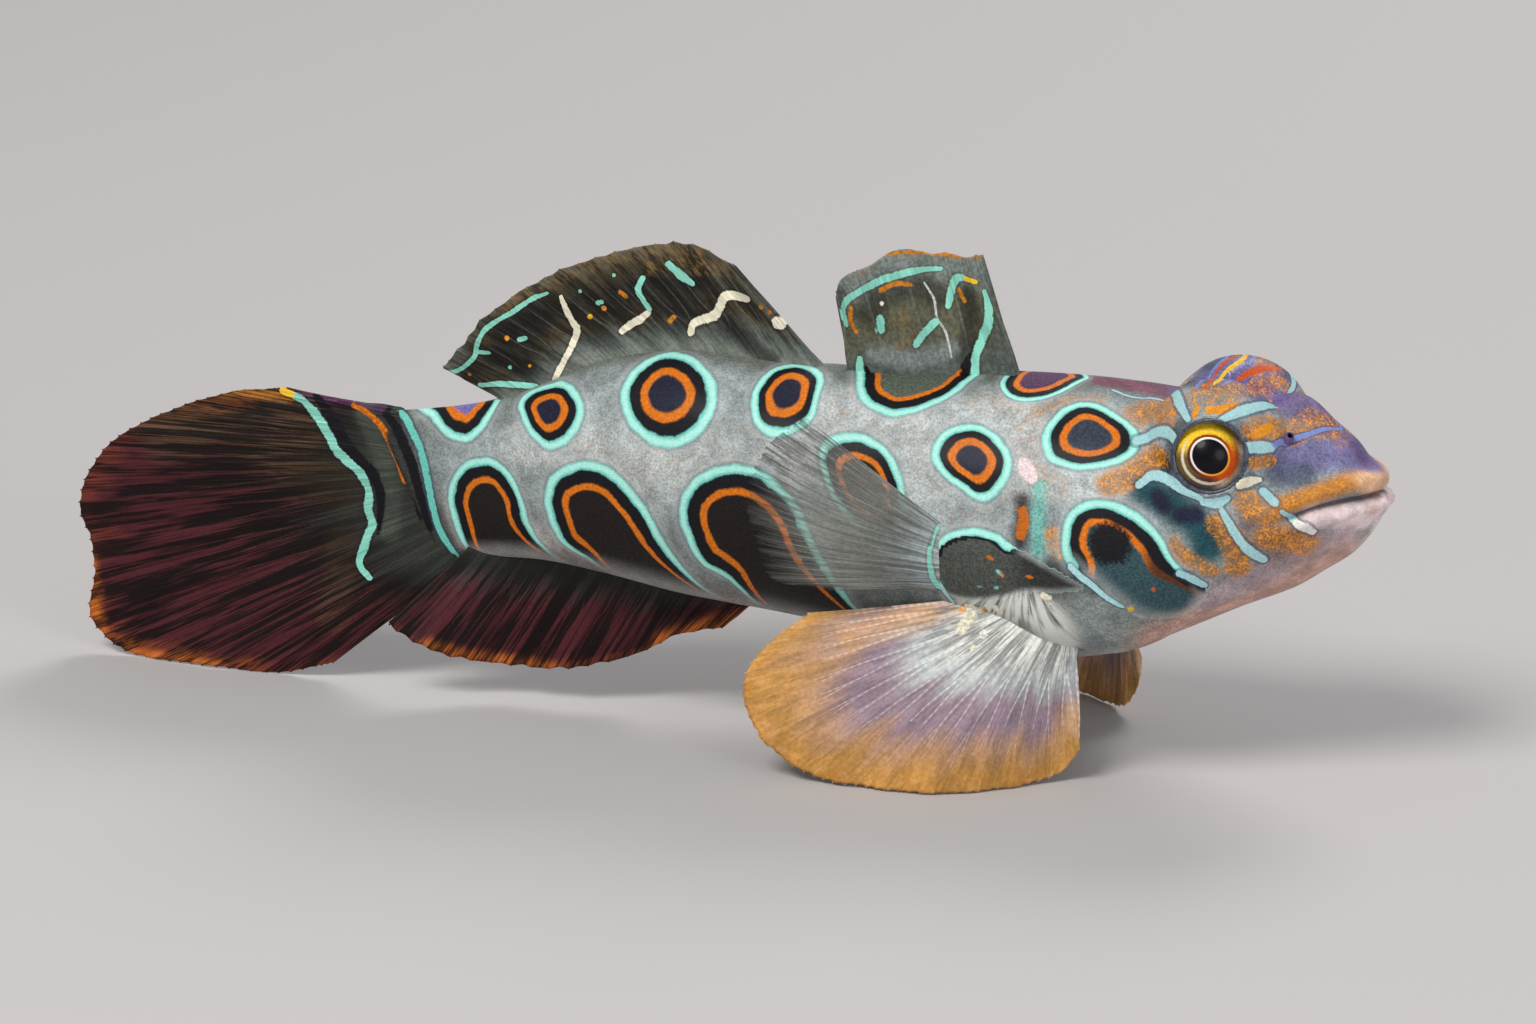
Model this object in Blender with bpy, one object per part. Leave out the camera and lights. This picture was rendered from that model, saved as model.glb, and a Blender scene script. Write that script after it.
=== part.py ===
"""A life-size spotted mandarinfish, resting on its two pelvic fins and the lower edge of its tail fin.

Sizes below are in millimetres and become metres in the meshes. +X points to the snout, +Y to the
fish's left and +Z up. The floor is z = 0, and the snout and the tail fin reach equally far from x = 0.
"""

import math

import bmesh
import bpy
from mathutils import Vector

MM = 0.001

# The whole fish
HALF_LENGTH = 33.0
SEAT_GAP = 0.3
FLOOR = 0.0

# One row for each rib of the body, tail first: the x and z of its highest point, the x and z of its
# lowest point, half its width, and how far up its height it is widest
RIBS = (
    (-17.0, 13.50, -13.3, 6.00, 0.50, 0.50),
    (-14.4, 13.80, -11.9, 6.45, 0.85, 0.50),
    (-11.0, 14.50, -10.2, 6.80, 1.75, 0.50),
    (-8.0, 15.80, -8.0, 6.90, 2.70, 0.50),
    (-5.0, 17.10, -5.0, 6.60, 3.50, 0.49),
    (-1.0, 17.80, -1.0, 6.00, 4.30, 0.48),
    (4.0, 17.55, 4.0, 5.60, 5.00, 0.46),
    (9.0, 17.50, 9.0, 5.10, 5.55, 0.45),
    (14.0, 17.80, 14.0, 4.80, 6.00, 0.43),
    (18.0, 17.90, 18.0, 4.80, 6.20, 0.41),
    (21.0, 17.80, 21.0, 5.40, 6.10, 0.40),
    (24.0, 17.60, 24.0, 6.75, 5.50, 0.41),
    (27.0, 17.75, 27.0, 8.30, 4.60, 0.43),
    (29.2, 17.10, 29.2, 9.60, 3.60, 0.46),
    (31.0, 16.05, 30.9, 10.75, 2.65, 0.48),
    (31.9, 15.20, 31.8, 11.45, 1.85, 0.50),
    (32.35, 14.65, 32.3, 12.05, 1.25, 0.52),
    (32.6, 14.20, 32.6, 12.65, 0.70, 0.55),
)
BELLY_FULLNESS = 2.35
BACK_FULLNESS = 2.0
RIB_SIDES = 44

# Swellings of the skin, on both sides alike: the centre, the radii, and over what depth each blends in
SWELLINGS = (
    ((25.3, 2.35, 15.9), (3.2, 2.35, 3.05), 1.1),
    ((20.6, 3.3, 9.9), (4.1, 3.2, 3.7), 1.2),
    ((14.9, 4.6, 10.2), (2.7, 2.1, 2.6), 0.9),
)
MISS_SLOPE = 10.0

# Where the body is parted, as places along the ribs, counted in x at the widest height
HEAD_REAR = 17.7
TRUNK_REAR = -6.0
STALK_REAR = -15.1
TRUNK_STEP = 1.25
STALK_STEP = 1.1
HEAD_STEP = 0.65
SNOUT_STEP = 0.35
SNOUT_START = 30.0

# Eyes
EYE_RADIUS = 2.05
EYE_CENTRE = (25.0, 2.85, 15.45)
EYE_AXIS = (0.27, 0.92, 0.24)
CORNEA_RADIUS = 1.5
CORNEA_RISE = 0.16
LID_RING_RADIUS = 1.92
LID_THICKNESS = 0.36
LID_HEIGHT = 1.5

# Mouth
MOUTH_CORNER_X = 28.3
MOUTH_CORNER_Z = 12.2
MOUTH_TIP_Z = 13.65
MOUTH_BOW = 0.8
MOUTH_BOW_SPAN = 0.84
MOUTH_STEPS = 9
MOUTH_GAP = 0.32
LIP_RISE = 0.4
LIP_WIDTH = 0.42
LIP_MIDDLE = 0.55
LIP_FADE = 1.6
MOUTH_HEART = (29.0, 0.0, 12.9)
JAW_HINGE_FOOT_X = 26.4
JAW_HINGE_FOOT_Z = 7.0
BLOCK_MARGIN = 2.0
BLOCK_TOP = 24.0
BLOCK_HALF_WIDTH = 9.0

# Nostril tubes
NOSTRIL_X = 28.6
NOSTRIL_ANGLE = 38.0
NOSTRIL_RADIUS = 0.36
NOSTRIL_HEIGHT = 0.55
NOSTRIL_SINK = 0.3
NOSTRIL_MOUTH = 0.7

# Fins: full thickness of the membrane and of a ray, at the root and at the edge
BACK_THICKNESS = ((0.7, 1.2), (0.5, 0.8))
PAIRED_THICKNESS = ((0.6, 0.9), (0.5, 0.75))
ROOT_SINK = 0.9
BACK_SWAY = 0.35

# Front dorsal fin: ray roots run back from the first spine, tips from the top front corner
FRONT_DORSAL_ROOT_X = (15.3, 7.1)
FRONT_DORSAL_TIPS = ((13.4, 23.5), (11.4, 23.3), (9.0, 23.4), (7.7, 22.6), (6.6, 22.0), (6.1, 20.9))
FRONT_DORSAL_RAYS = 4

# Rear dorsal fin
REAR_DORSAL_ROOT_X = (6.3, -9.4)
REAR_DORSAL_TIPS = (
    (1.2, 22.1), (-1.6, 22.85), (-4.6, 22.3), (-8.2, 20.9), (-11.3, 18.7), (-12.5, 17.2), (-13.6, 15.9),
)
REAR_DORSAL_RAYS = 9

# Anal fin
ANAL_ROOT_X = (3.0, -11.6)
ANAL_TIPS = (
    (0.6, 4.2), (-1.6, 3.7), (-3.6, 2.5), (-6.2, 1.8), (-8.9, 1.5), (-11.8, 1.8), (-14.3, 2.6), (-15.6, 3.6),
)
ANAL_RAYS = 9
ANAL_LEAN = 2.6

# Tail fin, from its top ray to its bottom ray
TAIL_TIPS = (
    (-21.8, 14.0), (-25.2, 13.55), (-28.7, 12.2), (-31.3, 10.5), (-32.8, 8.3), (-33.0, 6.9), (-32.4, 5.0),
    (-32.45, 3.2), (-32.6, 1.7), (-31.6, 0.6), (-29.6, 0.0), (-26.0, 0.0), (-22.0, 0.0), (-19.3, 0.8),
)
TAIL_RAYS = 13
TAIL_SWAY = 0.7
TAIL_ROOT_ANGLE = (9.0, 171.0)

# Pelvic fins: the root on the throat, and tips from the rear edge round to the front edge
PELVIC_ROOT_X = (16.2, 19.0)
PELVIC_ROOT_ANGLE = (110.0, 130.0)
PELVIC_TIPS = (
    (7.0, 7.2, 7.5), (5.2, 8.0, 5.9), (4.35, 8.6, 4.2), (4.9, 9.0, 2.4), (6.2, 9.25, 1.1), (8.2, 9.4, 0.2),
    (10.8, 9.3, 0.0), (13.6, 9.2, 0.0), (15.8, 8.3, 0.0), (17.6, 6.9, 0.0), (18.9, 5.6, 0.35), (19.7, 5.3, 1.5),
    (19.8, 5.3, 2.9),
)
PELVIC_RAYS = 12
PELVIC_BOW = (0.0, 1.3, 0.5)

# Pectoral fins: the root behind the cheek, and tips from the top edge round to the bottom edge
PECTORAL_ROOT_X = (13.6, 13.8)
PECTORAL_ROOT_ANGLE = (82.0, 106.0)
PECTORAL_TIPS = (
    (6.9, 7.3, 17.0), (5.3, 7.8, 15.7), (4.6, 8.2, 14.2), (4.5, 8.4, 12.6), (5.0, 8.5, 11.0), (5.6, 8.4, 9.4),
    (8.2, 8.2, 9.0),
)
PECTORAL_LOW_Z = 9.0
PECTORAL_FOLD = {-1: 1.0, 1: 0.78}
PECTORAL_RAYS = 16
PECTORAL_BOW = (0.0, 0.7, 0.0)

# Facets of a fin
COLUMNS_PER_RAY = 3
FIN_ROWS = 6
EDGE_SCALLOP = 0.28
FLAT_BELOW = 0.25


def clear_scene():
    for item in list(bpy.data.objects):
        bpy.data.objects.remove(item, do_unlink=True)


def make_material(name, colour, roughness, coat=0.0):
    material = bpy.data.materials.new(name)
    material.use_nodes = True
    shader = material.node_tree.nodes["Principled BSDF"]
    shader.inputs["Base Color"].default_value = (*colour, 1.0)
    shader.inputs["Roughness"].default_value = roughness
    shader.inputs["Metallic"].default_value = 0.0
    shader.inputs["Coat Weight"].default_value = coat
    return material


def mesh_object(name, points, faces, material=None):
    """A linked mesh object from points in millimetres, its faces turned outwards."""
    mesh = bpy.data.meshes.new(name)
    mesh.from_pydata([Vector(point) * MM for point in points], [], faces)
    mesh.validate()
    shaped = bmesh.new()
    shaped.from_mesh(mesh)
    bmesh.ops.recalc_face_normals(shaped, faces=shaped.faces)
    shaped.to_mesh(mesh)
    shaped.free()
    item = bpy.data.objects.new(name, mesh)
    bpy.context.scene.collection.objects.link(item)
    if material:
        mesh.materials.append(material)
    return item


def apply_modifiers(item):
    bpy.context.view_layer.update()
    graph = bpy.context.evaluated_depsgraph_get()
    shaped = bpy.data.meshes.new_from_object(item.evaluated_get(graph))
    item.modifiers.clear()
    item.data = shaped


def remove_object(item):
    bpy.data.objects.remove(item, do_unlink=True)


def join_pieces(item, pieces, solver="EXACT"):
    """Fuses the pieces into the item with one union on their collection, and removes them."""
    group = bpy.data.collections.new(item.name + "_pieces")
    bpy.context.scene.collection.children.link(group)
    for piece in pieces:
        bpy.context.scene.collection.objects.unlink(piece)
        group.objects.link(piece)
    fuse = item.modifiers.new("fuse", "BOOLEAN")
    fuse.operation = "UNION"
    fuse.operand_type = "COLLECTION"
    fuse.collection = group
    fuse.solver = solver
    apply_modifiers(item)
    for piece in pieces:
        remove_object(piece)
    bpy.data.collections.remove(group)


def trim(item, cutter, operation="DIFFERENCE", solver="EXACT"):
    """Cuts the item with the cutter, or keeps what they share, and leaves the cutter in place."""
    cut = item.modifiers.new("trim", "BOOLEAN")
    cut.operation = operation
    cut.object = cutter
    cut.solver = solver
    apply_modifiers(item)


def keep_largest_surface(item):
    """Drops loose scraps and sealed hollows that a union or a cut left."""
    shaped = bmesh.new()
    shaped.from_mesh(item.data)
    unseen = set(shaped.verts)
    islands = []
    while unseen:
        start = unseen.pop()
        island = {start}
        border = [start]
        while border:
            for edge in border.pop().link_edges:
                for end in edge.verts:
                    if end in unseen:
                        unseen.remove(end)
                        island.add(end)
                        border.append(end)
        islands.append(island)
    islands.sort(key=len)
    for island in islands[:-1]:
        bmesh.ops.delete(shaped, geom=list(island), context="VERTS")
    shaped.to_mesh(item.data)
    shaped.free()


def smooth_shade(item, degrees=40.0):
    item.data.shade_smooth()
    item.data.set_sharp_from_angle(angle=math.radians(degrees))


def between(pair, share):
    return pair[0] + (pair[1] - pair[0]) * share


def smooth_curve(points, share):
    """The point at this share, 0 to 1, of a smooth curve through the points, spaced by their distances."""
    knots = [0.0]
    for before, after in zip(points, points[1:]):
        knots.append(knots[-1] + math.dist(before, after))
    along = share * knots[-1]
    last = len(points) - 2
    part = next((i for i in range(last + 1) if along <= knots[i + 1]), last)
    span = knots[part + 1] - knots[part]
    t = min(1.0, max(0.0, (along - knots[part]) / span))

    def slope(i, axis):
        low, high = max(0, i - 1), min(last + 1, i + 1)
        return (points[high][axis] - points[low][axis]) / (knots[high] - knots[low]) * span

    return tuple(
        (2 * t**3 - 3 * t**2 + 1) * points[part][axis]
        + (t**3 - 2 * t**2 + t) * slope(part, axis)
        + (3 * t**2 - 2 * t**3) * points[part + 1][axis]
        + (t**3 - t**2) * slope(part + 1, axis)
        for axis in range(len(points[0]))
    )


def rib_middle_x(rib):
    """The x of a rib at its widest height."""
    return rib[2] + (rib[0] - rib[2]) * rib[5]


def rib_at(x):
    """The rib at this place along the body, eased between the listed ribs."""
    places = [rib_middle_x(rib) for rib in RIBS]
    x = min(max(x, places[0]), places[-1])
    last = len(RIBS) - 2
    part = next((i for i in range(last + 1) if x <= places[i + 1]), last)
    span = places[part + 1] - places[part]
    t = (x - places[part]) / span

    def slope(i, column):
        low, high = max(0, i - 1), min(last + 1, i + 1)
        return (RIBS[high][column] - RIBS[low][column]) / (places[high] - places[low]) * span

    return tuple(
        (2 * t**3 - 3 * t**2 + 1) * RIBS[part][column]
        + (t**3 - 2 * t**2 + t) * slope(part, column)
        + (3 * t**2 - 2 * t**3) * RIBS[part + 1][column]
        + (t**3 - t**2) * slope(part + 1, column)
        for column in range(6)
    )


def plain_point(x, angle):
    """A point of the smooth body: x along the body, and the angle in degrees from the back (0) down
    the left side to the belly (180) and up the right side. With it, the middle of that rib."""
    top_x, top_z, low_x, low_z, half_width, widest = rib_at(x)
    turn = math.radians(angle)
    across, upward = math.sin(turn), math.cos(turn)
    middle_z = low_z + (top_z - low_z) * widest
    fullness = BACK_FULLNESS if upward > 0 else BELLY_FULLNESS
    reach = top_z - middle_z if upward > 0 else middle_z - low_z
    length = (abs(across) ** fullness + abs(upward) ** fullness) ** (-1.0 / fullness)
    height = middle_z + reach * upward * length
    lean = (top_x - low_x) / (top_z - low_z)
    spot = Vector((low_x + lean * (height - low_z), half_width * across * length, height))
    return spot, Vector((low_x + lean * (middle_z - low_z), 0.0, middle_z))


def swelling_reach(start, heading, centre, radii):
    """How far along the heading the swelling ends. It falls away smoothly where the heading misses it."""
    offset = Vector([(centre[i] - start[i]) / radii[i] for i in range(3)])
    scaled = Vector([heading[i] / radii[i] for i in range(3)])
    nearest = offset.dot(scaled) / scaled.length_squared
    miss = (offset - scaled * nearest).length
    if miss > 1.0:
        return nearest - (miss - 1.0) * MISS_SLOPE
    return nearest + math.sqrt(1.0 - miss**2) / scaled.length


def blend_out(first, second, depth):
    """The larger of the two, rounded where they are nearly equal."""
    share = max(depth - abs(first - second), 0.0) / depth
    return max(first, second) + share**2 * depth / 4


def lip_rise(spot):
    """How far the lips lift this point of the skin."""
    along = spot.x - MOUTH_CORNER_X
    if along < -LIP_FADE:
        return 0.0
    fade = min(1.0, (along + LIP_FADE) / (2 * LIP_FADE))
    off_line = (abs(spot.z - mouth_height(spot.x)) - LIP_MIDDLE) / LIP_WIDTH
    return LIP_RISE * fade**2 * (3 - 2 * fade) * math.exp(-off_line**2)


def body_point(x, angle, swell=0.0):
    """A point of the skin with its swellings and lips, or swell millimetres outside it."""
    spot, middle = plain_point(x, angle)
    heading = (spot - middle).normalized()
    reach = (spot - middle).length
    for centre, radii, depth in SWELLINGS:
        for side in (-1, 1):
            reach = blend_out(reach, swelling_reach(middle, heading, mirrored(centre, side), radii), depth)
    spot = middle + heading * reach
    lift = lip_rise(spot)
    if lift:
        spot += (spot - Vector(MOUTH_HEART)).normalized() * lift
    return spot + heading * swell


def body_length(name, start, end, steps, swell=0.0, sides=RIB_SIDES, material=None):
    """A closed length of the body between two places along it."""
    places = [start + (end - start) * i / steps for i in range(steps + 1)]
    return body_loft(name, places, swell, sides, material)


def body_loft(name, places, swell=0.0, sides=RIB_SIDES, material=None):
    points = [body_point(x, 360.0 * side / sides, swell) for x in places for side in range(sides)]
    faces = []
    for row in range(len(places) - 1):
        for side in range(sides):
            after = (side + 1) % sides
            a, b = row * sides + side, row * sides + after
            faces.append((a, b, b + sides, a + sides))
    faces.append(tuple(range(sides)))
    faces.append(tuple(range((len(places) - 1) * sides, len(places) * sides)))
    return mesh_object(name, points, faces, material)


def ellipsoid(name, centre, radii, segments=24, rings=14, axis=None):
    shaped = bmesh.new()
    bmesh.ops.create_uvsphere(shaped, u_segments=segments, v_segments=rings, radius=1.0)
    bmesh.ops.scale(shaped, verts=shaped.verts, vec=Vector(radii) * MM)
    if axis:
        turn = Vector((0, 0, 1)).rotation_difference(Vector(axis)).to_matrix()
        bmesh.ops.rotate(shaped, verts=shaped.verts, cent=(0, 0, 0), matrix=turn)
    bmesh.ops.translate(shaped, verts=shaped.verts, vec=Vector(centre) * MM)
    mesh = bpy.data.meshes.new(name)
    shaped.to_mesh(mesh)
    shaped.free()
    item = bpy.data.objects.new(name, mesh)
    bpy.context.scene.collection.objects.link(item)
    return item


def tube(name, path, radii, sides=8, closed=False):
    """A round tube through the path's points, with one radius for each point."""
    points, faces = [], []
    count = len(path)
    for i, (centre, radius) in enumerate(zip(path, radii)):
        after = path[(i + 1) % count] if closed or i < count - 1 else centre
        before = path[i - 1] if closed or i else centre
        along = (after - before).normalized()
        side = along.cross(Vector((0.0, 0.0, 1.0)))
        side = side.normalized() if side.length > 0.1 else Vector((1.0, 0.0, 0.0))
        other = along.cross(side)
        for k in range(sides):
            turn = 2 * math.pi * k / sides
            points.append(centre + (side * math.cos(turn) + other * math.sin(turn)) * radius)
    for i in range(count if closed else count - 1):
        for k in range(sides):
            a, b = i * sides + k, i * sides + (k + 1) % sides
            c, d = (i + 1) % count * sides + (k + 1) % sides, (i + 1) % count * sides + k
            faces.append((a, b, c, d))
    if not closed:
        faces.append(tuple(range(sides)))
        faces.append(tuple(range((count - 1) * sides, count * sides)))
    return mesh_object(name, points, faces)


def mirrored(vector, side):
    """The vector for the fish's left (side 1) or right (side -1)."""
    return Vector((vector[0], vector[1] * side, vector[2]))


def mouth_height(x):
    """The height of the line of the mouth, which bows upwards from its corner to the lips."""
    share = (x - MOUTH_CORNER_X) / (HALF_LENGTH - MOUTH_CORNER_X)
    bow = MOUTH_BOW * math.sin(math.pi * MOUTH_BOW_SPAN * min(max(share, 0.0), 1.0))
    return MOUTH_CORNER_Z + (MOUTH_TIP_Z - MOUTH_CORNER_Z) * share + bow


def mouth_edge(offset):
    """Places beside the line of the mouth, this far above it or below it, from the lips back to its corner."""
    length = HALF_LENGTH + BLOCK_MARGIN - MOUTH_CORNER_X
    step = length / MOUTH_STEPS
    edge = []
    for i in range(MOUTH_STEPS):
        x = MOUTH_CORNER_X + length * (1 - i / MOUTH_STEPS)
        slope = (mouth_height(x + step / 2) - mouth_height(x - step / 2)) / step
        steep = math.hypot(1.0, slope)
        edge.append((x - slope * offset / steep, mouth_height(x) + offset / steep))
    return tuple(edge)


def jaw_block(name):
    """Everything below the mouth and before the hinge line, with the gap left out."""
    half = MOUTH_GAP / 2
    outline = mouth_edge(-half) + (
        (MOUTH_CORNER_X + half, MOUTH_CORNER_Z - half),
        (JAW_HINGE_FOOT_X + half, JAW_HINGE_FOOT_Z),
        (JAW_HINGE_FOOT_X + half, FLOOR),
        (HALF_LENGTH + BLOCK_MARGIN, FLOOR),
    )
    return prism(name, outline, BLOCK_HALF_WIDTH)


def head_block(name):
    """Everything above the mouth and behind the hinge line, with the gap left out."""
    half = MOUTH_GAP / 2
    outline = mouth_edge(half) + (
        (MOUTH_CORNER_X - half, MOUTH_CORNER_Z + half),
        (JAW_HINGE_FOOT_X - half, JAW_HINGE_FOOT_Z),
        (JAW_HINGE_FOOT_X - half, FLOOR),
        (HEAD_REAR - BLOCK_MARGIN, FLOOR),
        (HEAD_REAR - BLOCK_MARGIN, BLOCK_TOP),
        (HALF_LENGTH + BLOCK_MARGIN, BLOCK_TOP),
    )
    return prism(name, outline, BLOCK_HALF_WIDTH)


def prism(name, outline, half_width):
    """A solid from an outline in the plane of the body, half_width to each side."""
    count = len(outline)
    points = [(x, y, z) for y in (-half_width, half_width) for x, z in outline]
    faces = [tuple(range(count)), tuple(range(count, 2 * count))]
    faces += [(i, (i + 1) % count, (i + 1) % count + count, i + count) for i in range(count)]
    return mesh_object(name, points, faces)


def eye_frame(side):
    centre = mirrored(EYE_CENTRE, side)
    axis = mirrored(EYE_AXIS, side).normalized()
    return centre, axis


def lid_ring(name, side, count=24):
    centre, axis = eye_frame(side)
    across = axis.cross(Vector((0.0, 0.0, 1.0))).normalized()
    upward = across.cross(axis)
    path = []
    for i in range(count):
        turn = 2 * math.pi * i / count
        spot = (across * math.cos(turn) + upward * math.sin(turn)) * LID_RING_RADIUS
        path.append(centre + axis * LID_HEIGHT + spot)
    return tube(name, path, [LID_THICKNESS] * count, sides=8, closed=True)


def nostril(name, side):
    base = body_point(NOSTRIL_X, NOSTRIL_ANGLE * side, -NOSTRIL_SINK)
    outward = (body_point(NOSTRIL_X, NOSTRIL_ANGLE * side) - base).normalized()
    path = [base, base + outward * NOSTRIL_SINK, base + outward * (NOSTRIL_SINK + NOSTRIL_HEIGHT)]
    return tube(name, path, [NOSTRIL_RADIUS, NOSTRIL_RADIUS, NOSTRIL_RADIUS * NOSTRIL_MOUTH], sides=10)


def head_places():
    """Places of the head's ribs, closer together toward the snout."""
    count = round((SNOUT_START - HEAD_REAR) / HEAD_STEP)
    start = HEAD_REAR + SEAT_GAP / 2
    places = [start + (SNOUT_START - start) * i / count for i in range(count)]
    last_place = rib_middle_x(RIBS[-1])
    count = round((last_place - SNOUT_START) / SNOUT_STEP)
    for i in range(count + 1):
        share = math.sin(math.pi / 2 * i / count)
        places.append(SNOUT_START + (last_place - SNOUT_START) * share)
    return places


def make_head(material):
    head = body_loft("head", head_places(), material=material)
    pieces = []
    for side in (-1, 1):
        pieces.append(lid_ring(f"lid_{side}", side))
        pieces.append(nostril(f"nostril_{side}", side))
    join_pieces(head, pieces)
    block = head_block("head_block")
    trim(head, block, "INTERSECT")
    remove_object(block)
    for side in (-1, 1):
        centre, _ = eye_frame(side)
        socket = ellipsoid("socket", centre, (EYE_RADIUS + SEAT_GAP,) * 3, segments=20, rings=12)
        trim(head, socket)
        remove_object(socket)
    keep_largest_surface(head)
    smooth_shade(head)


def make_jaw(material):
    jaw = body_loft("lower_jaw", head_places(), material=material)
    block = jaw_block("jaw_block")
    trim(jaw, block, "INTERSECT")
    remove_object(block)
    keep_largest_surface(jaw)
    smooth_shade(jaw)


def make_eye(name, side, material):
    """An eyeball with a low, clear dome over its pupil."""
    centre, axis = eye_frame(side)
    ball = ellipsoid(name, centre, (EYE_RADIUS,) * 3, segments=20, rings=12, axis=axis)
    for vertex in ball.data.vertices:
        spot = vertex.co / MM - centre
        off_axis = (spot - axis * spot.dot(axis)).length
        if spot.dot(axis) > 0 and off_axis < CORNEA_RADIUS:
            vertex.co += axis * CORNEA_RISE * (1 - (off_axis / CORNEA_RADIUS) ** 2) * MM
    ball.data.materials.append(material)
    smooth_shade(ball)
    return ball


def fin_blade(name, root, tip, rays, material, thickness=BACK_THICKNESS, bow=(0.0, 0.0, 0.0), rows=FIN_ROWS,
              columns=COLUMNS_PER_RAY, scallop=EDGE_SCALLOP):
    """A closed fin. root and tip give a point for each share, 0 to 1, across the fan. Each ray is a
    ridge on both faces, the membrane between rays is thinner and ends a little short of their tips."""
    count = rays * columns
    bow = Vector(bow)

    def ridge(column):
        return max(0.0, math.cos(2 * math.pi * column / columns))

    def middle_point(column, row):
        across = column / count
        start, end = Vector(root(across)), Vector(tip(across))
        short = scallop * (1 - ridge(column)) / max(0.1, (end - start).length)
        along = row / rows * (1 - short)
        spot = start.lerp(end, along) + bow * 4 * along * (1 - along) * math.sin(math.pi * across)
        return spot

    grid = [[middle_point(column, row) for row in range(rows + 1)] for column in range(count + 1)]
    faces, front, back = [], [], []
    for column in range(count + 1):
        for row in range(rows + 1):
            spot = grid[column][row]
            across = grid[min(column + 1, count)][row] - grid[max(column - 1, 0)][row]
            along = grid[column][min(row + 1, rows)] - grid[column][max(row - 1, 0)]
            normal = across.cross(along).normalized()
            share = row / rows
            membrane, ray = (between(pair, share) for pair in zip(*thickness))
            half = (membrane + (ray - membrane) * ridge(column)) / 2
            pair = [spot + normal * half, spot - normal * half]
            for point in pair:
                point.z = FLOOR if spot.z < FLAT_BELOW else max(point.z, FLOOR)
            front.append(pair[0])
            back.append(pair[1])
    wide = rows + 1
    behind = len(front)
    for column in range(count):
        for row in range(rows):
            a = column * wide + row
            b, c, d = a + wide, a + wide + 1, a + 1
            faces += [(a, b, c), (a, c, d)]
            faces += [(behind + c, behind + b, behind + a), (behind + d, behind + c, behind + a)]
    rim = [(column * wide, (column + 1) * wide) for column in range(count)]
    rim += [(count * wide + row, count * wide + row + 1) for row in range(rows)]
    rim += [((column + 1) * wide + rows, column * wide + rows) for column in reversed(range(count))]
    rim += [(row + 1, row) for row in reversed(range(rows))]
    for a, b in rim:
        faces += [(b, a, behind + a), (b, behind + a, behind + b)]
    return mesh_object(name, front + back, faces, material)


def seat_fin(fin, clearance):
    """Cuts away the sunk root, so that the fin meets the skin face to face with a thin gap."""
    trim(fin, clearance, solver="MANIFOLD")
    keep_largest_surface(fin)
    smooth_shade(fin, 60.0)
    return fin


def back_fin(name, root_x, tips, rays, material):
    """A fin that stands on the midline of the back."""

    def root(share):
        x = between(root_x, share)
        return x, 0.0, body_point(x, 0.0).z - ROOT_SINK

    def tip(share):
        x, z = smooth_curve(tips, share)
        return x, BACK_SWAY * math.sin(2 * math.pi * share), z

    return fin_blade(name, root, tip, rays, material)


def make_anal_fin(material):
    def root(share):
        x = between(ANAL_ROOT_X, share)
        return x, 0.0, body_point(x, 180.0).z + ROOT_SINK

    def tip(share):
        x, z = smooth_curve(ANAL_TIPS, share)
        return x, -ANAL_LEAN * share**2, z

    return fin_blade("anal_fin", root, tip, ANAL_RAYS, material)


def make_tail_fin(material):
    sunk = STALK_REAR + ROOT_SINK
    top, bottom = (body_point(sunk, angle) for angle in TAIL_ROOT_ANGLE)

    def root(share):
        return top.lerp(bottom, share).to_tuple()

    def tip(share):
        x, z = smooth_curve(TAIL_TIPS, share)
        return x, TAIL_SWAY * math.sin(math.pi * share * 1.5), z

    return fin_blade("tail_fin", root, tip, TAIL_RAYS, material, rows=FIN_ROWS + 3)


def side_fin(name, side, root_x, root_angle, tips, rays, bow, material, low_z=0.0, fold=1.0):
    """A paired fin, from a root line on the flank or the throat. Fold lowers its tips towards low_z."""

    def root(share):
        spot = body_point(between(root_x, share), between(root_angle, share) * side, -ROOT_SINK)
        return spot.to_tuple()

    def tip(share):
        x, y, z = smooth_curve(tips, share)
        return x, y * side, low_z + (z - low_z) * fold

    return fin_blade(name, root, tip, rays, material, PAIRED_THICKNESS, mirrored(bow, side))


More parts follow.
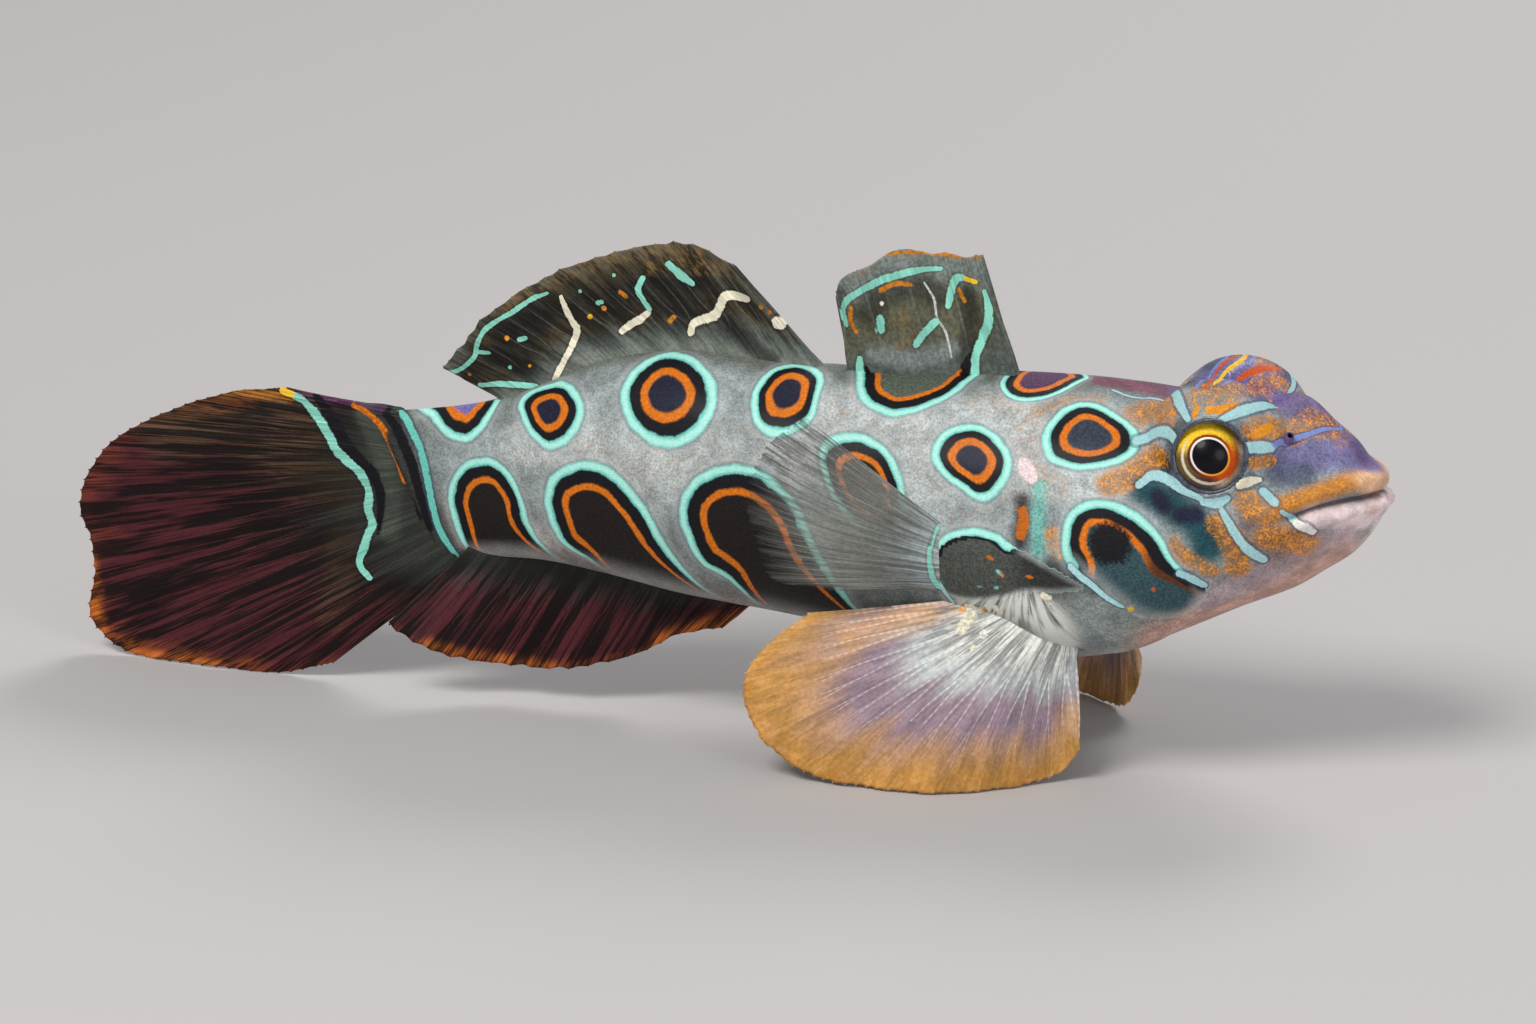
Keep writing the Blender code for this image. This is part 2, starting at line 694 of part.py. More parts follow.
def main():
    clear_scene()
    skin = make_material("grey_blue_skin", (0.42, 0.47, 0.46), 0.42, 0.25)
    lips = make_material("pale_lip_skin", (0.72, 0.50, 0.38), 0.4, 0.3)
    eye = make_material("gold_and_black_eye", (0.75, 0.48, 0.08), 0.12, 1.0)
    dorsal = make_material("olive_fin", (0.16, 0.18, 0.15), 0.5, 0.1)
    tail = make_material("maroon_fin", (0.13, 0.05, 0.05), 0.5, 0.1)
    paired = make_material("amber_fin", (0.72, 0.46, 0.16), 0.4, 0.2)

    body_length("trunk", TRUNK_REAR + SEAT_GAP / 2, HEAD_REAR - SEAT_GAP / 2,
                round((HEAD_REAR - TRUNK_REAR) / TRUNK_STEP), material=skin)
    body_length("tail_stalk", STALK_REAR + SEAT_GAP / 2, TRUNK_REAR - SEAT_GAP / 2,
                round((TRUNK_REAR - STALK_REAR) / STALK_STEP), material=skin)
    for name in ("trunk", "tail_stalk"):
        smooth_shade(bpy.data.objects[name])
    make_head(skin)
    make_jaw(lips)
    make_eye("eye_right", -1, eye)
    make_eye("eye_left", 1, eye)

    clearance = body_length("clearance", STALK_REAR - SEAT_GAP / 2, RIBS[-1][0] - 0.4, 48, swell=SEAT_GAP)
    clearance.hide_render = True
    clearance.display_type = "WIRE"
    seat_fin(back_fin("dorsal_fin_front", FRONT_DORSAL_ROOT_X, FRONT_DORSAL_TIPS, FRONT_DORSAL_RAYS, dorsal),
             clearance)
    seat_fin(back_fin("dorsal_fin_rear", REAR_DORSAL_ROOT_X, REAR_DORSAL_TIPS, REAR_DORSAL_RAYS, dorsal),
             clearance)
    seat_fin(make_anal_fin(tail), clearance)
    seat_fin(make_tail_fin(tail), clearance)
    for word, side in (("right", -1), ("left", 1)):
        seat_fin(side_fin(f"pelvic_fin_{word}", side, PELVIC_ROOT_X, PELVIC_ROOT_ANGLE, PELVIC_TIPS,
                          PELVIC_RAYS, PELVIC_BOW, paired), clearance)
        seat_fin(side_fin(f"pectoral_fin_{word}", side, PECTORAL_ROOT_X, PECTORAL_ROOT_ANGLE, PECTORAL_TIPS,
                          PECTORAL_RAYS, PECTORAL_BOW, paired, PECTORAL_LOW_Z, PECTORAL_FOLD[side]),
                 clearance)
    remove_object(clearance)


main()
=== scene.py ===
import math

import bpy
import numpy as np
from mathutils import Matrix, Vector


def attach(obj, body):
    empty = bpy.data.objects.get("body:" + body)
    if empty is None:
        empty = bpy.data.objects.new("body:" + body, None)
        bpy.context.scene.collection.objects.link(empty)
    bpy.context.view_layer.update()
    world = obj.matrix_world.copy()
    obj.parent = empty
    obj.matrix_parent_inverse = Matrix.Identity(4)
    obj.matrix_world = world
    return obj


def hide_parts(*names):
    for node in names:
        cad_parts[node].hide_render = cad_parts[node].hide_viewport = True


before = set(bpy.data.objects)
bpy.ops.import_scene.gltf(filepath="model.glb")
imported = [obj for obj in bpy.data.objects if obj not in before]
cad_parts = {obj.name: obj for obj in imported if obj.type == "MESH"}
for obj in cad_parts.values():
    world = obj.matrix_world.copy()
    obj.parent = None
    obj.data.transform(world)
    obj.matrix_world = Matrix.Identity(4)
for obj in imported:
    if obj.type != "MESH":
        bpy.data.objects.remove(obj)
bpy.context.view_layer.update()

mm = 0.001

# Every length below is in millimetres. Places on the skin are given as (x, angle): x along the fish and
# the angle in degrees from the back (0) down the flank to the belly (180).

paints = {
    "turquoise": (0.44, 0.80, 0.74), "paleTurquoise": (0.70, 0.95, 0.90),
    "ringBlack": (0.055, 0.045, 0.075), "ringOrange": (0.90, 0.48, 0.07), "greyBlue": (0.62, 0.66, 0.66),
    "paleGrey": (0.80, 0.82, 0.81), "oliveGrey": (0.44, 0.46, 0.43), "darkGrey": (0.27, 0.29, 0.30),
    "navy": (0.10, 0.11, 0.19), "slate": (0.27, 0.31, 0.38), "slateDark": (0.19, 0.22, 0.27),
    "plum": (0.30, 0.16, 0.30), "violet": (0.46, 0.41, 0.66), "brownOlive": (0.105, 0.08, 0.07),
    "ochre": (0.78, 0.49, 0.13), "brightOrange": (0.93, 0.60, 0.15), "rust": (0.80, 0.33, 0.10),
    "yellow": (0.96, 0.78, 0.20), "paleBlue": (0.66, 0.83, 0.84), "mauveBlue": (0.50, 0.56, 0.80),
    "cream": (0.93, 0.90, 0.80), "white": (0.93, 0.92, 0.89), "inkTeal": (0.13, 0.31, 0.34),
    "inkNavy": (0.12, 0.11, 0.22), "greenTeal": (0.19, 0.29, 0.31), "pinkTan": (0.80, 0.62, 0.56),
    "pinkGrey": (0.72, 0.64, 0.66), "lipOrange": (0.85, 0.57, 0.25), "lipWhite": (0.96, 0.87, 0.87),
    "bellyWhite": (0.80, 0.77, 0.75), "redPurple": (0.47, 0.24, 0.33), "nearBlack": (0.05, 0.04, 0.06),
    "snoutBrown": (0.50, 0.40, 0.38), "snoutMauve": (0.45, 0.37, 0.55), "lineBlue": (0.16, 0.27, 0.38),
    "finOlive": (0.33, 0.36, 0.32), "finGrey": (0.47, 0.49, 0.45), "finShadow": (0.14, 0.14, 0.13),
    "maroon": (0.17, 0.055, 0.07), "maroonEdge": (0.27, 0.11, 0.08), "maroonRay": (0.44, 0.25, 0.20),
    "amber": (0.84, 0.62, 0.32), "rimAmber": (0.88, 0.66, 0.38), "pinkAmber": (0.80, 0.62, 0.48),
    "tailOlive": (0.21, 0.16, 0.10), "lightOrange": (0.93, 0.70, 0.42), "lipTan": (0.93, 0.74, 0.58),
    "amberEdge": (0.62, 0.33, 0.09), "smoke": (0.56, 0.56, 0.53), "seaGreen": (0.55, 0.84, 0.76),
    "gillAmber": (0.78, 0.42, 0.10), "lensGrey": (0.28, 0.29, 0.27), "sailGrey": (0.47, 0.50, 0.48),
    "sailOlive": (0.37, 0.37, 0.30), "sailBase": (0.31, 0.34, 0.32), "sailDark": (0.12, 0.115, 0.10),
    "sailTan": (0.60, 0.47, 0.26), "sailBrown": (0.22, 0.19, 0.13), "sailEdge": (0.31, 0.30, 0.26),
    "lilacGrey": (0.64, 0.55, 0.60), "boneWhite": (0.88, 0.88, 0.85), "baseOlive": (0.21, 0.22, 0.20),
}

def linear(name):
    return tuple(((c + 0.055) / 1.055) ** 2.4 if c > 0.04045 else c / 12.92 for c in paints[name])

def ease(low, high, value):
    share = np.clip((value - low) / (high - low), 0.0, 1.0)
    return share * share * (3.0 - 2.0 * share)

def unit(vectors):
    return vectors / np.maximum(np.linalg.norm(vectors, axis=-1, keepdims=True), 1e-9)

def signedVolume(points, faces):
    total = 0.0
    for face in faces:
        a = points[face[0]]
        for k in range(1, len(face) - 1):
            total += np.dot(a, np.cross(points[face[k]], points[face[k + 1]]))
    return total

def addFields(mesh, fields):
    # Each field gives one number or one colour for each point.
    for label, values in fields.items():
        values = np.asarray(values, float)
        kind, slot = ("FLOAT_VECTOR", "vector") if values.ndim == 2 else ("FLOAT", "value")
        mesh.attributes.new(label, kind, "POINT").data.foreach_set(slot, values.ravel())

def tubeFaces(rings, sides, wrapped=False):
    # The walls between rings of points. A wrapped tube joins its last ring to its first.
    faces = []
    for ring in range(rings if wrapped else rings - 1):
        base, onward = ring * sides, (ring + 1) % rings * sides
        for side in range(sides):
            after = (side + 1) % sides
            faces.append((base + side, base + after, onward + after, onward + side))
    return faces

def capFaces(rings, sides):
    # Closes both ends of a tube round the two points that follow its rings.
    base, faces = (rings - 1) * sides, []
    for side in range(sides):
        after = (side + 1) % sides
        faces.append((after, side, rings * sides))
        faces.append((base + side, base + after, rings * sides + 1))
    return faces

def addObject(name, data):
    item = bpy.data.objects.new(name, data)
    bpy.context.scene.collection.objects.link(item)
    return item

def makePiece(name, points, faces, material, fields=None, flip=False):
    # Points are in millimetres.
    mesh = bpy.data.meshes.new(name)
    if flip:
        faces = [tuple(reversed(face)) for face in faces]
    mesh.from_pydata((np.asarray(points) * mm).tolist(), [], faces)
    mesh.update()
    addFields(mesh, fields or {})
    mesh.shade_smooth()
    piece = addObject(name, mesh)
    mesh.materials.append(material)
    return piece

def smoothRows(knots, rows, along):
    # Rows of a smooth curve that passes through the given rows at the knots.
    part = np.clip(np.searchsorted(knots, along) - 1, 0, len(knots) - 2)
    span = (knots[part + 1] - knots[part])[:, None]
    t = (along - knots[part])[:, None] / span
    index = np.arange(len(knots))
    low, high = np.maximum(index - 1, 0), np.minimum(index + 1, len(knots) - 1)
    slopes = (rows[high] - rows[low]) / (knots[high] - knots[low])[:, None]
    return (
        (2 * t**3 - 3 * t**2 + 1) * rows[part] + (t**3 - 2 * t**2 + t) * slopes[part] * span
        + (3 * t**2 - 2 * t**3) * rows[part + 1] + (t**3 - t**2) * slopes[part + 1] * span
    )

def curveThrough(points, shares):
    # Points at these shares, 0 to 1, of a smooth curve through the given points.
    points = np.asarray(points, float)
    knots = np.concatenate([[0.0], np.cumsum(np.linalg.norm(np.diff(points, axis=0), axis=1))])
    return smoothRows(knots, points, np.clip(np.asarray(shares, float), 0, 1) * knots[-1])

def distanceToLine(points, line, halfWidths=None):
    # Distance from each point to a chain of points and, with halfWidths, 1 on the chain and 0 at its edge.
    best = np.full(len(points), 1e9)
    inside = np.full(len(points), -1e9)
    if len(line) == 1:
        best = np.linalg.norm(points - line[0], axis=1)
        return best, (1 - best / halfWidths[0] if halfWidths is not None else None)
    for k in range(len(line) - 1):
        start, end = line[k], line[k + 1]
        along = end - start
        share = np.clip((points - start) @ along / max(along @ along, 1e-9), 0.0, 1.0)
        gap = np.linalg.norm(points - (start + share[:, None] * along), axis=1)
        best = np.minimum(best, gap)
        if halfWidths is not None:
            width = halfWidths[k] + (halfWidths[k + 1] - halfWidths[k]) * share
            inside = np.maximum(inside, 1 - gap / width)
    return best, (inside if halfWidths is not None else None)

def insideLoop(places, loop):
    # True for each (x, angle) place inside the closed loop.
    found = np.zeros(len(places), bool)
    for (x1, y1), (x2, y2) in zip(loop, np.roll(loop, -1, axis=0)):
        crosses = (y1 > places[:, 1]) != (y2 > places[:, 1])
        if y1 == y2:
            continue
        edge = (x2 - x1) * (places[:, 1] - y1) / (y2 - y1) + x1
        found ^= crosses & (places[:, 0] < edge)
    return found

bodyForm = {
    "ribs": (
        (-17.0, 13.50, -13.3, 6.00, 0.50, 0.50), (-14.4, 13.80, -11.9, 6.45, 0.85, 0.50),
        (-11.0, 14.50, -10.2, 6.80, 1.75, 0.50), (-8.0, 15.80, -8.0, 6.90, 2.70, 0.50),
        (-5.0, 17.10, -5.0, 6.60, 3.50, 0.49), (-1.0, 17.80, -1.0, 6.00, 4.30, 0.48),
        (4.0, 17.55, 4.0, 5.60, 5.00, 0.46), (9.0, 17.50, 9.0, 5.10, 5.55, 0.45),
        (14.0, 17.80, 14.0, 4.80, 6.00, 0.43), (18.0, 17.90, 18.0, 4.80, 6.20, 0.41),
        (21.0, 17.80, 21.0, 5.40, 6.10, 0.40), (24.0, 17.60, 24.0, 6.75, 5.50, 0.41),
        (27.0, 17.75, 27.0, 8.30, 4.60, 0.43), (29.2, 17.10, 29.2, 9.60, 3.60, 0.46),
        (31.0, 16.05, 30.9, 10.75, 2.65, 0.48), (31.9, 14.95, 31.8, 11.45, 1.80, 0.52),
        (32.35, 14.35, 32.3, 12.05, 1.15, 0.56), (32.6, 13.95, 32.6, 12.65, 0.60, 0.60),
    ),
    "bellyFullness": 2.35,
    "backFullness": 2.0,
    "swellings": (  # eye dome, cheek and base of the pectoral fin: centre, radii, blend
        ((25.3, 2.35, 15.9), (3.2, 2.35, 3.05), 1.1),
        ((20.6, 3.3, 9.9), (4.1, 3.2, 3.7), 1.2),
        ((14.9, 4.6, 10.2), (2.7, 2.1, 2.6), 0.9),
    ),
    "missSlope": 10.0,
    "rearEnd": -15.1,
    "headFrom": 19.0,
    "bodyStep": 0.24,
    "headStep": 0.11,
    "headTo": 31.6,
    "tipRows": 14,
    "sides": 320,
}

mouthForm = {
    "cornerX": 28.3, "cornerZ": 12.75, "tipX": 33.0, "tipZ": 13.45,
    "lipRise": 0.4, "lipWidth": 0.42, "lipMiddle": 0.55, "lipFade": 1.6, "heart": (29.0, 0.0, 12.9),
    "bow": 0.55, "bowSpan": 0.84, "lineFrom": 29.0, "lineFade": 0.6, "lineDepth": 0.45, "lineWidth": 0.10,
    "tipDent": 0.12,
}

eyeForm = {
    "centre": (25.0, 2.85, 15.45), "axis": (0.27, 0.92, 0.24), "radius": 2.05, "corneaRadius": 1.5,
    "corneaRise": 0.16, "opening": 1.58, "rimRadius": 1.82, "rimRise": 0.14, "rimWidth": 0.20,
    "lidRadius": 1.66, "lidTube": 0.10, "skinDepth": 0.3,
}

folds = {  # shallow creases: a chain of places, depth, width
    "lip": (((30.2, 101), (30.9, 105), (31.5, 110), (32.1, 118)), 0.14, 0.16),
    "jawFold": (((23.0, 121), (23.96, 131), (24.91, 139), (25.87, 143), (27.1, 139), (28.6, 133)), 0.12,
        0.16),
    "cheekFold": (((19.3, 84.5), (20.0, 88), (20.7, 94), (21.4, 101.5), (22.0, 109), (22.9, 118)), 0.10,
        0.16),
    "browFold": (((23.4, 12), (24.6, 8), (26.2, 7), (27.6, 9), (28.6, 14)), 0.10, 0.3),
}

muscles = {  # place, radius and rise
    "pelvicBase": ((17.3, 108), 1.5, 0.45), "pelvicFoot": ((18.2, 121), 1.2, 0.35),
    "forehead": ((29.25, 0), 1.0, 0.25), "brow": ((28.35, 0), 0.8, 0.22),
    "lowerLip": ((31.0, 98), 0.6, 0.10), "lowerLipFront": ((32.1, 108), 0.7, 0.18),
    "chin": ((31.2, 168), 1.2, 0.16), "throat": ((28.9, 172), 2.2, 0.22),
}

silkBase = {  # the pale fan of flesh over the pelvic fin: its heart, its middle line and half width
    "heart": (17.2, 84.0), "line": ((14.9, 113), (15.9, 109), (17.2, 106), (18.3, 110), (18.8, 119),
        (18.7, 131)),
    "width": 0.95, "strands": 10.0, "stretch": 0.30,
}

ribTable = np.array(bodyForm["ribs"])
ribPlace = ribTable[:, 2] + (ribTable[:, 0] - ribTable[:, 2]) * ribTable[:, 5]

def ribsAt(x):
    return smoothRows(ribPlace, ribTable, np.clip(x, ribPlace[0], ribPlace[-1]))

def mouthHeight(x):
    share = (x - mouthForm["cornerX"]) / (mouthForm["tipX"] - mouthForm["cornerX"])
    bow = mouthForm["bow"] * np.sin(math.pi * mouthForm["bowSpan"] * np.clip(share, 0, 1))
    return mouthForm["cornerZ"] + (mouthForm["tipZ"] - mouthForm["cornerZ"]) * share + bow

def skinPoints(x, angle, swell=0.0):
    # Points of the plain skin for arrays of places. Positive angles are the fish's left side.
    x, angle = np.asarray(x, float).ravel(), np.asarray(angle, float).ravel()
    topX, topZ, lowX, lowZ, halfWidth, widest = ribsAt(x).T
    turn = np.radians(angle)
    across, upward = np.sin(turn), np.cos(turn)
    middleZ = lowZ + (topZ - lowZ) * widest
    fullness = np.where(upward > 0, bodyForm["backFullness"], bodyForm["bellyFullness"])
    reach = np.where(upward > 0, topZ - middleZ, middleZ - lowZ)
    length = (np.abs(across) ** fullness + np.abs(upward) ** fullness) ** (-1.0 / fullness)
    height = middleZ + reach * upward * length
    lean = (topX - lowX) / (topZ - lowZ)
    spot = np.stack([lowX + lean * (height - lowZ), halfWidth * across * length, height], -1)
    middle = np.stack([lowX + lean * (middleZ - lowZ), 0 * middleZ, middleZ], -1)
    out = np.linalg.norm(spot - middle, axis=1)
    heading = (spot - middle) / out[:, None]
    for centre, radii, depth in bodyForm["swellings"]:
        for side in (-1, 1):
            offset = (np.array([centre[0], centre[1] * side, centre[2]]) - middle) / np.array(radii)
            scaled = heading / np.array(radii)
            squared = (scaled**2).sum(1)
            nearest = (offset * scaled).sum(1) / squared
            miss = np.linalg.norm(offset - scaled * nearest[:, None], axis=1)
            hit = nearest + np.sqrt(np.clip(1 - miss**2, 0, 1)) / np.sqrt(squared)
            other = np.where(miss > 1, nearest - (miss - 1) * bodyForm["missSlope"], hit)
            share = np.maximum(depth - np.abs(out - other), 0) / depth
            out = np.maximum(out, other) + share**2 * depth / 4
    spot = middle + heading * out[:, None]
    fade = ease(-mouthForm["lipFade"], mouthForm["lipFade"], spot[:, 0] - mouthForm["cornerX"])
    off = (np.abs(spot[:, 2] - mouthHeight(spot[:, 0])) - mouthForm["lipMiddle"]) / mouthForm["lipWidth"]
    lift = mouthForm["lipRise"] * fade * np.exp(-(off**2))
    spot += unit(spot - np.array(mouthForm["heart"])) * lift[:, None]
    return spot + heading * swell

def onSide(vector, side):
    return np.array([vector[0], vector[1] * side, vector[2]])

def eyeFrame(side):
    return onSide(eyeForm["centre"], side), unit(onSide(eyeForm["axis"], side))

def skinChain(places, side, step=0.12, closed=False):
    # A smooth chain on the skin through (x, angle) places, as places and as points.
    places = np.asarray(places, float)
    if closed:
        places = np.vstack([places, places[:1]])
    if len(places) > 1:
        scaled = places * np.array([1.0, 0.1])
        if closed:
            wrapped = np.vstack([scaled[-3:-1], scaled, scaled[1:3]])
            count = max(24, int(np.linalg.norm(np.diff(scaled, axis=0), axis=1).sum() / step))
            gaps = np.concatenate([[0], np.cumsum(np.linalg.norm(np.diff(wrapped, axis=0), axis=1))])
            shares = np.linspace(gaps[2], gaps[-3], count) / gaps[-1]
            scaled = curveThrough(wrapped, shares)
        else:
            count = max(4, int(np.linalg.norm(np.diff(scaled, axis=0), axis=1).sum() / step))
            scaled = curveThrough(scaled, np.linspace(0, 1, count))
        places = scaled / np.array([1.0, 0.1])
    return places, skinPoints(places[:, 0], places[:, 1] * side)

ringMarks = {
    # line, widths of the turquoise, black and orange bands, kind, colour of the core
    "stalkSaddle": (((-13.5, 0), (-13.0, 26), (-12.5, 43.5), (-12.0, 52.5), (-11.5, 55), (-11.0, 50),
        (-10.5, 39), (-10.2, 22), (-10.15, 0)), (0.43, 0.50, 0.36), "saddle", "violet"),
    "stalkRing": (((-9.2, 26), (-8.9, 42), (-8.2, 60), (-7.1, 71), (-6.1, 68), (-5.5, 58), (-5.5, 46),
        (-6.2, 32), (-7.2, 18), (-8.2, 13), (-8.9, 16)), (0.43, 0.38, 0.33), "ring", "navy"),
    "midRing": (((-3.45, 49), (-3.64, 38), (-3.2, 22), (-2.3, 9), (-1.4, 7), (-0.4, 14), (0.8, 27),
        (1.33, 39), (1.2, 51), (0.5, 62), (-0.8, 68), (-2.0, 66), (-3.0, 58)), (0.50, 0.58, 0.44), "ring",
        "navy"),
    "finRing": (((3.05, 41), (2.95, 31), (3.3, 15), (4.0, 4), (5.0, 3), (5.9, 12), (6.2, 28), (6.15, 42),
        (5.4, 50), (4.5, 53), (3.6, 51)), (0.40, 0.40, 0.40), "ring", "navy"),
    "finSaddle": (((7.25, 0), (7.7, 18), (8.2, 28), (9.2, 34.5), (10.0, 36), (11.1, 33), (12.1, 27.5),
        (12.8, 20), (13.2, 8), (13.36, 0)), (0.42, 0.50, 0.24), "saddle", "finOlive"),
    "napeSaddle": (((14.5, 0), (14.6, 13), (15.0, 20), (15.8, 24), (16.8, 22.5), (17.6, 17.5), (18.2, 8),
        (18.5, 0)), (0.26, 0.38, 0.30), "saddle", "plum"),
    "bean": (((12.3, 54), (12.3, 48), (12.8, 41), (13.7, 37.5), (14.7, 39), (15.6, 44), (16.2, 51),
        (16.15, 59), (15.6, 66), (14.9, 68), (14.0, 64.5), (13.0, 60)), (0.40, 0.36, 0.36), "ring", "navy"),
    "shoulderRing": (((17.45, 44), (17.45, 37), (17.9, 28), (18.7, 21.5), (19.7, 22), (20.9, 28),
        (21.8, 35), (22.0, 43), (21.4, 48.5), (20.2, 52), (18.9, 52.5), (17.9, 50)), (0.38, 0.40, 0.32),
        "ring", "slateDark"),
    "rearArch": (((-12.2, 165), (-12.71, 155), (-13.09, 146), (-13.38, 130), (-13.38, 114), (-13.1, 95),
        (-12.4, 79), (-11.5, 69), (-10.6, 68), (-9.8, 74), (-9.1, 86), (-8.6, 100), (-8.35, 115),
        (-7.8, 130), (-7.27, 142), (-6.6, 158)), (0.38, 0.56, 0.28), "arch", "brownOlive"),
    "middleArch": (((-4.3, 160), (-5.26, 140), (-6.4, 131), (-7.0, 119), (-7.35, 103), (-7.1, 88),
        (-6.2, 80.5), (-5.0, 78), (-3.6, 81.5), (-2.5, 90), (-1.6, 100), (-0.9, 113), (0.1, 127.5),
        (1.6, 150)), (0.45, 0.62, 0.30), "arch", "brownOlive"),
    "frontArch": (((3.6, 150), (2.28, 127), (1.0, 121), (0.3, 111), (-0.1, 97), (0.1, 86), (0.9, 76.5),
        (2.3, 69), (3.8, 67.5), (5.1, 72.5), (6.2, 82), (6.9, 95), (7.9, 111.5), (9.2, 135)),
        (0.45, 0.68, 0.32), "arch", "brownOlive"),
    "pectoralEgg": (((6.8, 60), (6.8, 53), (7.4, 47.5), (8.5, 45.5), (9.6, 48.5), (10.5, 55), (11.1, 64),
        (11.4, 74), (11.3, 83), (10.6, 88), (9.7, 87.5), (8.6, 82.5), (7.6, 73.5)), (0.43, 0.50, 0.28),
        "ring", "brownOlive"),
    "finBase": (((12.75, 89), (13.0, 84.5), (13.6, 80.5), (14.6, 77.8), (15.9, 78), (16.5, 81),
        (17.9, 85.5), (19.2, 89.5), (20.2, 95.0), (19.0, 97.5), (17.6, 98.5), (16.4, 102.5), (14.8, 106.5),
        (13.5, 106), (12.95, 98)), (0.40, 0.12, 0.0), "part5", "lensGrey"),
    "cheek": (((19.5, 87), (19.1, 82), (19.0, 75), (19.2, 69), (19.8, 64.5), (20.6, 63.3), (21.5, 64.8),
        (22.4, 69), (23.1, 75), (23.6, 80.5), (23.9, 87), (24.3, 95), (24.8, 104), (25.4, 113), (25.4, 124),
        (24.6, 132), (23.6, 126), (22.4, 114), (21.5, 102), (20.5, 92)), (0.40, 0.50, 0.32), "part13",
        "greenTeal"),
}
taperOf = {  # bands narrow to a share of their width between two x or two angles
    "rearArch": ("angle", 115, 150, 0.5), "middleArch": ("angle", 110, 145, 0.5),
    "frontArch": ("angle", 105, 140, 0.5), "cheek": ("x", 22.9, 24.4, 0.62),
}

paleStrokes = {  # places with half widths, and the paint
    "stalkLine": (((-14.6, 0, .19), (-14.1, 16, .19), (-13.85, 40, .2), (-13.75, 66, .2), (-14.05, 92, .19),
        (-14.4, 120, .18), (-14.0, 155, .12)), "turquoise"),
    "overEye": (((23.25, 22, .20), (23.9, 33, .24), (24.35, 38.5, .17)), "paleBlue"),
    "brow": (((25.9, 41.5, .16), (26.6, 38.5, .26), (27.3, 33.5, .24), (27.75, 25, .14), (27.7, 14, .08)),
        "paleBlue"),
    "beforeEye": (((27.15, 51.5, .28), (27.7, 50.5, .30), (28.15, 49, .2)), "paleBlue"),
    "snoutLine": (((28.15, 49, .15), (28.65, 39, .17), (29.4, 29, .12), (30.3, 9, .09), (30.5, 0, .08)),
        "mauveBlue"),
    "wedge": (((26.9, 66, .22), (27.35, 64.8, .27), (27.75, 64.3, .10)), "cream"),
    "drop": (((27.88, 70.5, .19), (28.45, 78, .21)), "paleBlue"),
    "bead": (((28.8, 84, .12), (29.2, 90.5, .16)), "paleBlue"),
    "mouthDash": (((29.35, 92.5, .17), (29.75, 99, .25), (30.05, 105, .20)), "white"),
    "cheekSlash": (((26.16, 76, .15), (26.73, 87.5, .19), (27.3, 101.5, .25), (27.95, 114, .20)),
        "paleBlue"),
    "behindEye": (((21.86, 39, .26), (22.43, 37, .26), (23.29, 39.5, .26), (23.96, 45, .22)), "paleBlue"),
    "underEye": (((22.3, 58, .20), (22.85, 54.2, .26), (23.6, 56.5, .24), (24.3, 62, .16), (25.1, 67, .12)),
        "paleBlue"),
    "underPupil": (((25.3, 69.5, .16), (25.9, 71.5, .25), (26.35, 70.5, .17)), "paleBlue"),
    "cheekTail": (((24.35, 101, .18), (24.85, 107, .21), (25.4, 115, .15)), "paleBlue"),
    "cheekEdge": (((19.5, 86.5, .15), (20.4, 92.5, .13), (21.15, 100.3, .11), (21.95, 108.2, .09)),
        "paleBlue"),
    "napeLine": (((19.9, 10, .07), (21.0, 14, .07), (22.2, 13, .08), (23.1, 17, .06)), "paleBlue"),
    "baseEdge": (((12.8, 90, .14), (12.95, 98, .15), (13.45, 106, .14), (13.9, 112, .10)), "paleBlue"),
}
